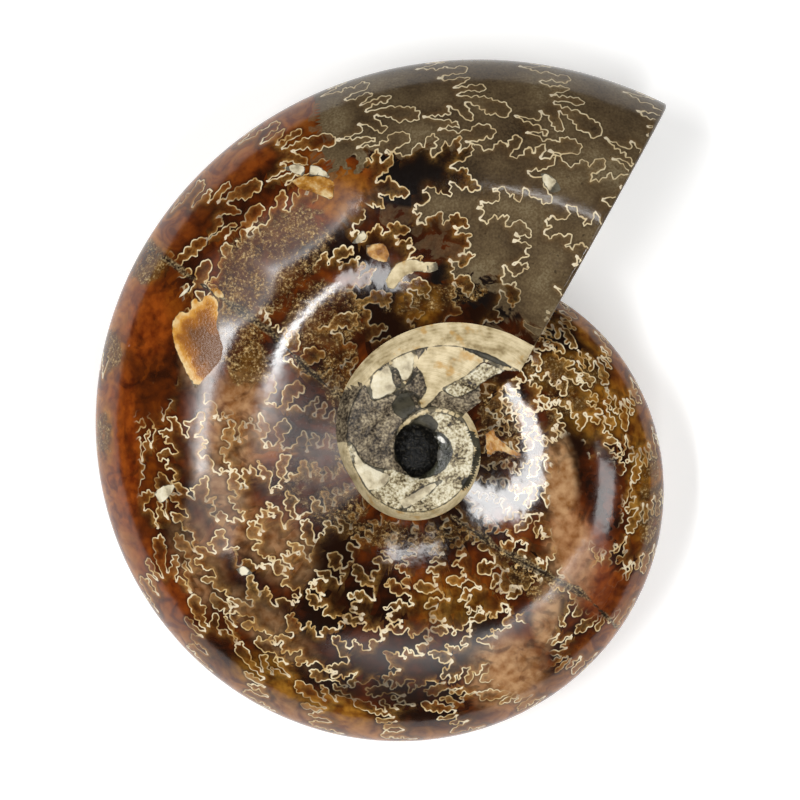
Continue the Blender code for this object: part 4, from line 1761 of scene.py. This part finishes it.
class Nodes:
    """One material and its node tree."""

    def __init__(self, name: str, *stored: str) -> None:
        """Start a new material with only its shader.

        Args:
            name: The material's name.
            *stored: Names of the mesh's attributes that it reads.
        """
        self.material = bpy.data.materials.new(name)
        self.material.use_nodes = True
        self.tree = self.material.node_tree
        self.shader = self.tree.nodes["Principled BSDF"]
        self.place = self.add(Kind.PLACE)
        self.stored = {key: self.add(Kind.STORED, attribute_name=key) for key in stored}

    def give(self, socket: Socket, value: object) -> None:
        """Link an input to an output, or set its number, or its colour from a hex code."""
        if isinstance(value, Socket):
            self.tree.links.new(value, socket)
        else:
            socket.default_value = linear(value) if isinstance(value, str) else value

    def add(self, kind: Kind, *values: object, stops: tuple = (), **named: object) -> Socket:
        """Add a node with its settings and links; a noise also gets the place on the object.

        Args:
            kind: What node it is.
            *values: Numbers, hex codes or outputs for the inputs in use, in order.
            stops: Places and hex codes along its colour ramp.
            **named: The same for inputs by name, or settings of its own.

        Returns:
            The output that is used.
        """
        kind_of_node, settings, output = kind.value
        node = self.tree.nodes.new("ShaderNode" + kind_of_node)
        for name, value in {**settings, **named}.items():
            if hasattr(node, name):
                setattr(node, name, value)
            else:
                self.give(node.inputs[name], value)
        if kind is Kind.NOISE:
            values = (self.place, *values)
        for socket, value in zip([s for s in node.inputs if s.enabled], values):
            self.give(socket, value)
        for number, (position, colour) in enumerate(stops):
            bar = node.color_ramp.elements
            element = bar[number] if number < len(bar) else bar.new(1.0)
            element.position = position
            element.color = linear(colour)
        return next(s for s in node.outputs if s.identifier == output)

    def chain(self, kind: Kind, value: object, *others: object) -> Socket:
        """Fold several values with nodes of one kind, each taking what the last one gave."""
        for other in others:
            value = self.add(kind, value, other)
        return value

    def layered(self, value: Socket, *layers: tuple) -> Socket:
        """Add several outputs to a number, each with its share."""
        for output, share in layers:
            value = self.add(Kind.TIMES_PLUS, output, share, value)
        return value

    def finish(self, **inputs: object) -> bpy.types.Material:
        """Give the shader its inputs, underscores for spaces, and return the material."""
        for name, value in inputs.items():
            self.give(self.shader.inputs[name.replace("_", " ")], value)
        return self.material


@dataclass(frozen=True)
class PolishedCalcite:
    """Chambers filled with amber calcite and mud, ground and polished to a glassy face.

    The eye gets deep brown to honey fields, each cut off sharply at a cream suture line that glows
    gold on its inner side.
    """

    name: str = "polished_calcite_with_sutures"
    line_width: float = 0.01
    ior: float = 1.56
    glow_base: float = 2.718

    def build(self) -> bpy.types.Material:
        """Make the material: the amber first, then mud, soot, moss, the lines and the glue.

        Returns:
            The material.
        """
        n = Nodes(
            self.name, "line_gap", "chamber", "apical", "inward", "tip", "mud_reach", "half_reach",
            "fracture_gap", *TONES,
        )
        gap, apical, inward = (n.stored[name] for name in ("line_gap", "apical", "inward"))
        fine = n.add(Kind.NOISE, scale_for(2.2), 5)
        veins = n.add(Kind.NOISE, scale_for(6), 4, Distortion=1.6)
        grit = n.add(Kind.NOISE, scale_for(0.5), 4)
        clear = n.add(Kind.SPREAD, n.stored["bare"], 0.2, 0.75, 1.0, 0.0)
        colour = self.amber(n, fine, veins)
        ragged = n.add(Kind.TIMES_PLUS, veins, 0.5, n.add(Kind.PLUS, inward, -0.25))
        mud, half_mud = (
            n.add(Kind.SPREAD, n.add(Kind.MINUS, n.stored[name], ragged), -0.04, 0.04)
            for name in ("mud_reach", "half_reach")
        )
        half_mud = n.add(Kind.TIMES, half_mud, n.add(Kind.MINUS, 1.0, mud))
        patchy = n.add(Kind.SPREAD, veins, 0.50, 0.54, 0.0, 0.6)
        mud = n.add(Kind.LARGER, mud, n.add(Kind.TIMES, half_mud, patchy))
        colour = n.add(Kind.BLEND, mud, colour, self.mud(n, grit))
        sooty = n.add(Kind.TIMES_PLUS, half_mud, 0.7, 0.3)
        soot = n.add(Kind.SPREAD, n.add(Kind.TIMES, n.stored["soot"], sooty), 0.2, 0.6)
        colour = n.add(Kind.BLEND, soot, colour, "#120C09")
        colour, speckle = self.moss(n, colour, grit)
        core = n.chain(
            Kind.TIMES,
            apical,
            n.add(Kind.SPREAD, gap, 0.35, 0.85),
            n.add(Kind.SPREAD, gap, 1.1, 2.4, 0.55, 0.0),
            clear,
            n.add(Kind.TIMES_PLUS, mud, -0.5, 1.0),
        )
        colour = n.add(Kind.BLEND, core, colour, "#1E0D04")
        glow = n.chain(
            Kind.TIMES,
            n.add(Kind.POWER, self.glow_base, n.add(Kind.TIMES, gap, -2.1)),
            apical,
            n.add(Kind.SPREAD, n.add(Kind.NOISE, scale_for(6), 3), 0.35, 0.6, 0.25, 1.0),
            n.add(Kind.SPREAD, n.add(Kind.NOISE, scale_for(0.6), 5), 0.35, 0.55, 0.45, 1.0),
            n.add(Kind.SPREAD, inward, 0.5, 0.9, 1.0, 0.35),
            n.add(Kind.TIMES_PLUS, mud, -0.8, 1.0),
            clear,
            0.95,
        )
        gold = n.add(Kind.RAMP, fine, stops=((0.35, "#96591A"), (0.6, "#C2924A")))
        colour = n.add(Kind.BLEND, glow, colour, gold)
        shade = n.chain(
            Kind.TIMES,
            n.add(Kind.SPREAD, gap, 0.1, 1.0, 1.0, 0.0),
            n.add(Kind.TIMES_PLUS, apical, -0.4, 0.55),
            clear,
            n.add(Kind.TIMES_PLUS, mud, -0.6, 1.0),
        )
        colour = n.add(Kind.BLEND, shade, colour, "#120804")
        colour, line = self.lines(n, colour, mud, clear)
        colour = self.fracture(n, colour, grit)
        outward = n.add(Kind.SPREAD, inward, -0.1, 0.15, 0.04, 0.0)
        scratches = n.add(Kind.NOISE, scale_for(0.9), 4)
        rough = n.layered(
            n.add(Kind.PLUS, outward, 0.04),
            (scratches, 0.09), (line, 0.08), (speckle, 0.05), (n.stored["dull"], 0.4),
        )
        small_waves = n.add(Kind.TIMES, n.add(Kind.NOISE, scale_for(1.6), 3), 0.12)
        ripple = n.add(Kind.PLUS, n.add(Kind.NOISE, scale_for(7), 2), small_waves)
        bump = n.add(Kind.BUMP, Height=ripple, Strength=0.5, Distance=0.0002)
        return n.finish(
            Base_Color=colour, Roughness=rough, Normal=bump, IOR=self.ior, Specular_IOR_Level=0.36
        )

    def amber(self, n: Nodes, fine: Socket, veins: Socket) -> Socket:
        """Colour of the calcite: dark veins, a tone of its own for each chamber, zones and painted
        sheen.

        Args:
            n: The material's nodes.
            fine: Fine noise.
            veins: Bent noise.

        Returns:
            The colour.
        """
        chamber_tone = n.add(Kind.CHANCE, n.stored["chamber"])
        field = n.layered(
            n.add(Kind.TIMES, n.add(Kind.NOISE, scale_for(16), 2), 0.50),
            (veins, 0.27), (fine, 0.12), (chamber_tone, 0.13), (n.stored["umber"], -0.12),
        )
        colour = n.add(Kind.RAMP, field, stops=(
            (0.39, "#1A0902"), (0.46, "#331303"), (0.53, "#522204"), (0.60, "#6E3406"),
            (0.70, "#8F5010"),
        ))
        for name, share, low, high in (
            ("rust", 0.9, "#622404", "#92440E"),
            ("gold", 0.9, "#6A3C06", "#AC7826"),
            # Milky tan, and painted sheen on the rim band and the lower right panels
            ("tan", 0.85, "#8E5F34", "#C0976C"),
        ):
            shown = n.add(Kind.SPREAD, veins, 0.3, 0.5, 0.35, share)
            amount = n.add(Kind.TIMES, n.stored[name], shown)
            tint = n.add(Kind.RAMP, fine, stops=((0.35, low), (0.65, high)))
            colour = n.add(Kind.BLEND, amount, colour, tint)
        rim = n.add(Kind.SPREAD, n.stored["inward"], -0.80, -0.45, 0.7, 0.0)
        rim_colour = n.add(Kind.RAMP, veins, stops=((0.38, "#6E320C"), (0.62, "#B0702C")))
        return n.add(Kind.BLEND, rim, colour, rim_colour)

    def mud(self, n: Nodes, grit: Socket) -> Socket:
        """Colour of the mud that fills the chambers by the mouth: grey-brown with dark flecks.

        Args:
            n: The material's nodes.
            grit: Gritty noise.

        Returns:
            The colour.
        """
        clouds = n.add(Kind.TIMES, n.add(Kind.NOISE, scale_for(11), 4), 0.65)
        colour = n.add(Kind.RAMP, n.add(Kind.TIMES_PLUS, grit, 0.35, clouds), stops=(
            (0.34, "#3A2E20"), (0.46, "#51422E"), (0.56, "#62523A"), (0.66, "#786A50"),
        ))
        flecks = n.add(Kind.NOISE, scale_for(1.3), 3)
        shown = n.add(Kind.SPREAD, flecks, 0.66, 0.72, 0.0, 0.6)
        return n.add(Kind.BLEND, shown, colour, "#2A2016")

    def moss(self, n: Nodes, colour: Socket, grit: Socket) -> tuple:
        """Lay the mossy gold grains over the colour.

        Args:
            n: The material's nodes.
            colour: What lies under them.
            grit: Gritty noise.

        Returns:
            The colour, and where the grains are.
        """
        clumps = n.add(Kind.NOISE, scale_for(3.4), 9, 0.74)
        clumped = n.add(Kind.TIMES_PLUS, clumps, 2.2, n.stored["moss"])
        mossy = n.add(Kind.SPREAD, clumped, 1.45, 1.95)
        ground = n.add(Kind.RAMP, n.add(Kind.NOISE, scale_for(5), 6), stops=(
            (0.38, "#140903"), (0.52, "#2E1A0A"), (0.64, "#4E3820"),
        ))
        colour = n.add(Kind.BLEND, n.add(Kind.TIMES, mossy, 0.72), colour, ground)
        grains = n.add(Kind.NOISE, scale_for(0.75), 10, 0.8)
        dense = n.add(Kind.TIMES_PLUS, clumps, 0.6, grains)
        speckle = n.add(Kind.TIMES, mossy, n.add(Kind.SPREAD, dense, 0.76, 0.92))
        gold = n.add(Kind.RAMP, grit, stops=(
            (0.40, "#6E4A1E"), (0.52, "#9A7844"), (0.62, "#C4A875"),
        ))
        return n.add(Kind.BLEND, n.add(Kind.TIMES, speckle, 0.85), colour, gold), speckle

    def lines(self, n: Nodes, colour: Socket, mud: Socket, clear: Socket) -> tuple:
        """Draw the cream suture lines, wider at their tips and fainter by the rim and in mud.

        Args:
            n: The material's nodes.
            colour: What lies under them.
            mud: Where mud fills the chamber.
            clear: How much of a line shows, low where the flank is bare.

        Returns:
            The colour, and where the lines are.
        """
        tip = n.stored["tip"]
        width = n.add(Kind.NOISE, scale_for(4), 2)
        width = n.add(Kind.TIMES_PLUS, width, 0.20, self.line_width)
        width = n.add(Kind.TIMES_PLUS, tip, 0.09, width)
        line = n.add(
            Kind.SPREAD, n.add(Kind.MINUS, n.stored["line_gap"], width), -0.06, 0.07, 1.0, 0.0
        )
        worn = n.add(Kind.NOISE, scale_for(9), 4)
        worn = n.add(Kind.SPREAD, worn, 0.38, 0.50, 0.35, 1.0)
        fade = n.add(Kind.LARGER, n.add(Kind.TIMES, mud, 0.85), worn)
        by_rim = n.add(Kind.SPREAD, n.stored["inward"], 0.45, 0.85, 1.0, 0.22)
        line = n.chain(Kind.TIMES, line, n.add(Kind.TIMES, fade, by_rim), clear)
        cream = n.add(Kind.RAMP, n.add(Kind.NOISE, scale_for(3), 3), stops=(
            (0.33, "#A87E42"), (0.46, "#CDB07A"), (0.58, "#E8D8B2"),
        ))
        cream = n.add(Kind.BLEND, n.add(Kind.TIMES, mud, 0.6), cream, "#D3C29C")
        cream = n.add(Kind.BLEND, n.add(Kind.TIMES, tip, 0.8), cream, "#E6DAC0")
        return n.add(Kind.BLEND, n.add(Kind.TIMES, line, 0.95), colour, cream), line

    def fracture(self, n: Nodes, colour: Socket, grit: Socket) -> Socket:
        """Lay the gritty glue of the two straight fractures over the colour.

        Args:
            n: The material's nodes.
            colour: What lies under it.
            grit: Gritty noise.

        Returns:
            The colour.
        """
        wander = n.add(Kind.NOISE, scale_for(4), 4)
        wander = n.add(Kind.TIMES_PLUS, wander, 1.4, -0.7)
        off = n.add(Kind.SIZE, n.add(Kind.PLUS, n.stored["fracture_gap"], wander))
        width = n.add(Kind.NOISE, scale_for(7), 3)
        width = n.add(Kind.TIMES_PLUS, width, 2.7, -0.8)
        fill = n.add(Kind.SPREAD, n.add(Kind.MINUS, off, width), -0.2, 0.35, 1.0, 0.0)
        glue = n.add(Kind.RAMP, grit, stops=(
            (0.40, "#231A12"), (0.50, "#52432F"), (0.58, "#7C6A4A"), (0.68, "#A8946C"),
        ))
        colour = n.add(Kind.BLEND, n.add(Kind.TIMES, fill, 0.85), colour, glue)
        crack = n.add(Kind.SPREAD, off, 0.10, 0.24, 0.85, 0.0)
        return n.add(Kind.BLEND, crack, colour, "#1A120B")


@dataclass(frozen=True)
class NavelMatrix:
    """Chalky shell, silt and calcite in the navel, cut and polished only on the high spots.

    The eye gets cream shell with fine growth lines, grey grit, a black pit, dark glassy bits,
    painted glints.
    """

    name: str = "cut_shell_and_silt"

    def build(self) -> bpy.types.Material:
        """Make the material: one colour for each filling, and dark cracks between them.

        Returns:
            The material.
        """
        n = Nodes(self.name, "fill", "edge_gap", "growth")
        fill, edge = n.stored["fill"], n.stored["edge_gap"]
        grit = n.add(Kind.NOISE, scale_for(0.55), 5)
        lumps = n.add(Kind.NOISE, scale_for(2.6), 4)
        silty = n.add(Kind.TIMES_PLUS, grit, 0.55, n.add(Kind.TIMES, lumps, 0.5))
        gritty = n.add(Kind.TIMES_PLUS, grit, 0.55, n.add(Kind.TIMES, lumps, 0.45))
        fan = n.add(Kind.TIMES_PLUS, edge, -0.11, n.add(Kind.TIMES_PLUS, lumps, 0.7, 0.24))
        colour = self.shell(n, lumps)
        for filling, value, stops in (
            (Fill.SILT, silty,
             ((0.38, "#2A2117"), (0.46, "#7A6C50"), (0.52, "#B5A988"), (0.62, "#DDD6BE"))),
            (Fill.GRIT, gritty,
             ((0.39, "#241D16"), (0.48, "#5C5142"), (0.56, "#867962"), (0.65, "#B3A588"))),
            (Fill.FLAKE, lumps, ((0.36, "#A1947A"), (0.48, "#CFC3A4"), (0.62, "#E2D9BF"))),
            (Fill.OLIVE, lumps, ((0.35, "#211F18"), (0.6, "#464235"))),
            (Fill.PIT, grit, ((0.44, "#020201"), (0.58, "#0C0A07"), (0.70, "#3E3A30"))),
            (Fill.GLASS, lumps, ((0.35, "#14150F"), (0.65, "#4A4A3C"))),
            (Fill.SPUR, lumps, ((0.35, "#7A4A10"), (0.5, "#AE7A32"), (0.65, "#D2B884"))),
            (Fill.SEPTUM, fan,
             ((0.02, "#70492A"), (0.32, "#9A6024"), (0.48, "#C98F3C"), (0.62, "#E0C088"))),
            # Painted highlight: grey-white to near white glints
            (Fill.GLINT, grit, ((0.3, "#B9B6AA"), (0.6, "#E4E2DA"))),
        ):
            here = n.add(Kind.SAME, fill, float(filling.value), 0.5)
            colour = n.add(Kind.BLEND, here, colour, n.add(Kind.RAMP, value, stops=stops))
        ragged = n.add(Kind.NOISE, scale_for(1.5), 3)
        seam = n.add(Kind.PLUS, edge, n.add(Kind.TIMES_PLUS, ragged, 0.5, -0.25))
        broken = n.add(Kind.NOISE, scale_for(4), 3)
        crack = n.chain(
            Kind.TIMES,
            n.add(Kind.SPREAD, seam, 0.04, 0.22, 1.0, 0.0),
            n.add(Kind.SPREAD, broken, 0.36, 0.5),
            0.85,
        )
        colour = n.add(Kind.BLEND, crack, colour, "#1C1A12")
        is_pit = n.add(Kind.SAME, fill, float(Fill.PIT.value), 0.5)
        glassy = n.add(Kind.ABOVE, fill, Fill.OLIVE.value + 0.5)
        glassy = n.add(Kind.TIMES, glassy, n.add(Kind.MINUS, 1.0, is_pit))
        rough = n.add(Kind.SPREAD, grit, 0.3, 0.7, 0.35, 0.55)
        rough = n.add(Kind.TIMES_PLUS, glassy, -0.22, rough)
        depth = n.add(Kind.TIMES_PLUS, is_pit, 1.5, 0.5)
        height = n.add(Kind.TIMES, depth, n.add(Kind.TIMES_PLUS, lumps, 0.6, grit))
        bump = n.add(Kind.BUMP, Height=height, Strength=0.6, Distance=0.0004)
        return n.finish(
            Base_Color=colour, Roughness=rough, Normal=bump, IOR=1.5, Specular_IOR_Level=0.25
        )

    def shell(self, n: Nodes, lumps: Socket) -> Socket:
        """Cream shell with growth lines that follow the coil, stained yellow in places.

        Args:
            n: The material's nodes.
            lumps: Lumpy noise.

        Returns:
            The colour.
        """
        bend = n.add(Kind.NOISE, scale_for(7), 4)
        bend = n.add(Kind.TIMES_PLUS, bend, 2.4, n.stored["growth"])
        lines, finer = (n.add(Kind.SINE, n.add(Kind.TIMES, bend, count)) for count in (7.0, 17.0))
        base = n.add(Kind.TIMES_PLUS, lumps, 0.7, 0.15)
        lines = n.add(Kind.TIMES_PLUS, lines, 0.024, base)
        some = n.add(Kind.SPREAD, lumps, 0.4, 0.6, 0.0, 0.035)
        colour = n.add(Kind.RAMP, n.add(Kind.TIMES_PLUS, finer, some, lines), stops=(
            (0.36, "#94815C"), (0.45, "#BDAB84"), (0.6, "#DCCBA5"),
        ))
        stain = n.add(Kind.NOISE, scale_for(4), 3)
        stain = n.add(Kind.SPREAD, stain, 0.58, 0.7, 0.0, 0.7)
        return n.add(Kind.BLEND, stain, colour, "#B98B3E")


@dataclass(frozen=True)
class SawnFace:
    """Mud filling and its thin shell wall, sawn and polished at the mouth.

    The eye gets an even grey-brown with a pale line round it.
    """

    name: str = "sawn_mud_filling"

    def build(self) -> bpy.types.Material:
        """Make the material.

        Returns:
            The material.
        """
        n = Nodes(self.name, "apical")
        grit = n.add(Kind.NOISE, scale_for(0.8), 5)
        broad = n.add(Kind.TIMES, n.add(Kind.NOISE, scale_for(8), 3), 0.6)
        mud = n.add(Kind.RAMP, n.add(Kind.TIMES_PLUS, grit, 0.4, broad), stops=(
            (0.32, "#33281A"), (0.5, "#5A4B35"), (0.7, "#7F7053"),
        ))
        wall = n.add(Kind.RAMP, grit, stops=((0.3, "#8F7B57"), (0.7, "#CDBB92")))
        colour = n.add(Kind.BLEND, n.stored["apical"], mud, wall)
        rough = n.add(Kind.SPREAD, grit, 0.3, 0.7, 0.16, 0.3)
        bump = n.add(Kind.BUMP, Height=grit, Strength=0.3, Distance=0.0002)
        return n.finish(Base_Color=colour, Roughness=rough, Normal=bump, IOR=1.5)


@dataclass(frozen=True)
class PaleFloor:
    """A plain pale light table, lit a little from below so that shadows on it stay faint."""

    name: str = "pale_light_table"
    side: float = 1.6
    glow: float = 0.35
    drop: float = 0.0002

    def build(self) -> bpy.types.Object:
        """Make the floor.

        Returns:
            The floor.
        """
        n = Nodes(self.name)
        clouds = n.add(Kind.NOISE, scale_for(40), 2)
        grain = n.add(Kind.NOISE, scale_for(5), 2)
        material = n.finish(
            Base_Color=n.add(Kind.RAMP, clouds, stops=((0.3, "#F1F1F0"), (0.7, "#F5F5F4"))),
            Roughness=n.add(Kind.SPREAD, grain, 0.3, 0.7, 0.7, 0.8),
            Emission_Color="#FFFFFF",
            Emission_Strength=self.glow,
        )
        half = self.side / 2
        mesh = bpy.data.meshes.new("floor")
        corners = [(-half, -half, 0), (half, -half, 0), (half, half, 0), (-half, half, 0)]
        mesh.from_pydata(corners, [], [(0, 1, 2, 3)])
        mesh.materials.append(material)
        floor = bpy.data.objects.new("floor", mesh)
        floor.location.z = -self.drop
        bpy.context.scene.collection.objects.link(floor)
        return floor


@dataclass(frozen=True)
class Softbox:
    """A flat oblong light, turned so that its length points away from the middle."""

    name: str
    place: tuple
    size: tuple
    power: float
    aim_height: float = 0.03

    def build(self) -> None:
        """Hang the light so that it faces the object."""
        light = bpy.data.lights.new(self.name, "AREA")
        light.shape = "RECTANGLE"
        light.size, light.size_y = self.size
        light.energy = self.power
        lamp = bpy.data.objects.new(self.name, light)
        lamp.location = self.place
        aim = Vector((0, 0, self.aim_height)) - Vector(self.place)
        outward = Vector((self.place[0], self.place[1], 0)).normalized()
        across = outward.cross(Vector((0, 0, 1)))
        back = -aim.normalized()
        side = across.cross(back).normalized()
        lamp.rotation_euler = Matrix((side, across, side.cross(across))).transposed().to_euler()
        bpy.context.scene.collection.objects.link(lamp)


@dataclass(frozen=True)
class Studio:
    """The lights, and the camera straight above."""

    boxes: tuple = (
        Softbox("left_softbox", (-0.45, -0.02, 1.1), (0.18, 0.78), 10.0),
        Softbox("lower_right_softbox", (0.27, -0.43, 1.1), (0.07, 0.44), 3.2),
        Softbox("front_softbox", (0.06, -0.72, 1.1), (0.45, 0.09), 1.6),
        Softbox("far_softbox", (0.08, 0.36, 1.1), (0.03, 0.30), 0.5),
        Softbox("right_softbox", (0.81, -0.15, 1.1), (0.42, 0.36), 3.6),
    )
    ambient: float = 0.05
    camera_height: float = 1.4
    sharp_height: float = 0.015
    sensor: float = 36.0

    def build(self) -> None:
        """Set the light and the camera."""
        world = bpy.data.worlds.new("soft_studio")
        world.use_nodes = True
        background = world.node_tree.nodes["Background"]
        background.inputs["Color"].default_value = linear("#FFFFFF")
        background.inputs["Strength"].default_value = self.ambient
        bpy.context.scene.world = world
        for box in self.boxes:
            box.build()
        lens = bpy.data.cameras.new("overhead")
        lens.sensor_fit = "HORIZONTAL"
        lens.sensor_width = self.sensor
        view = IMAGE_SIDE * PIXEL * MM
        lens.lens = self.sensor * (self.camera_height - self.sharp_height) / view
        camera = bpy.data.objects.new("overhead", lens)
        camera.location = (
            (IMAGE_SIDE / 2 - MIDDLE_PIXEL[0]) * PIXEL * MM,
            (MIDDLE_PIXEL[1] - IMAGE_SIDE / 2) * PIXEL * MM,
            self.camera_height,
        )
        bpy.context.scene.collection.objects.link(camera)
        bpy.context.scene.camera = camera
        bpy.context.scene.view_settings.view_transform = "Standard"


def main() -> None:
    """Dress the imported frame."""
    logging.basicConfig(level=logging.INFO, format="%(name)s: %(message)s")
    materials = [PolishedCalcite().build(), NavelMatrix().build(), SawnFace().build()]
    shell = AmmoniteMesh().build(materials)
    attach(shell, "root")
    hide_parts(NODE)
    PaleFloor().build()
    Studio().build()


if __name__ == "__main__":
    main()
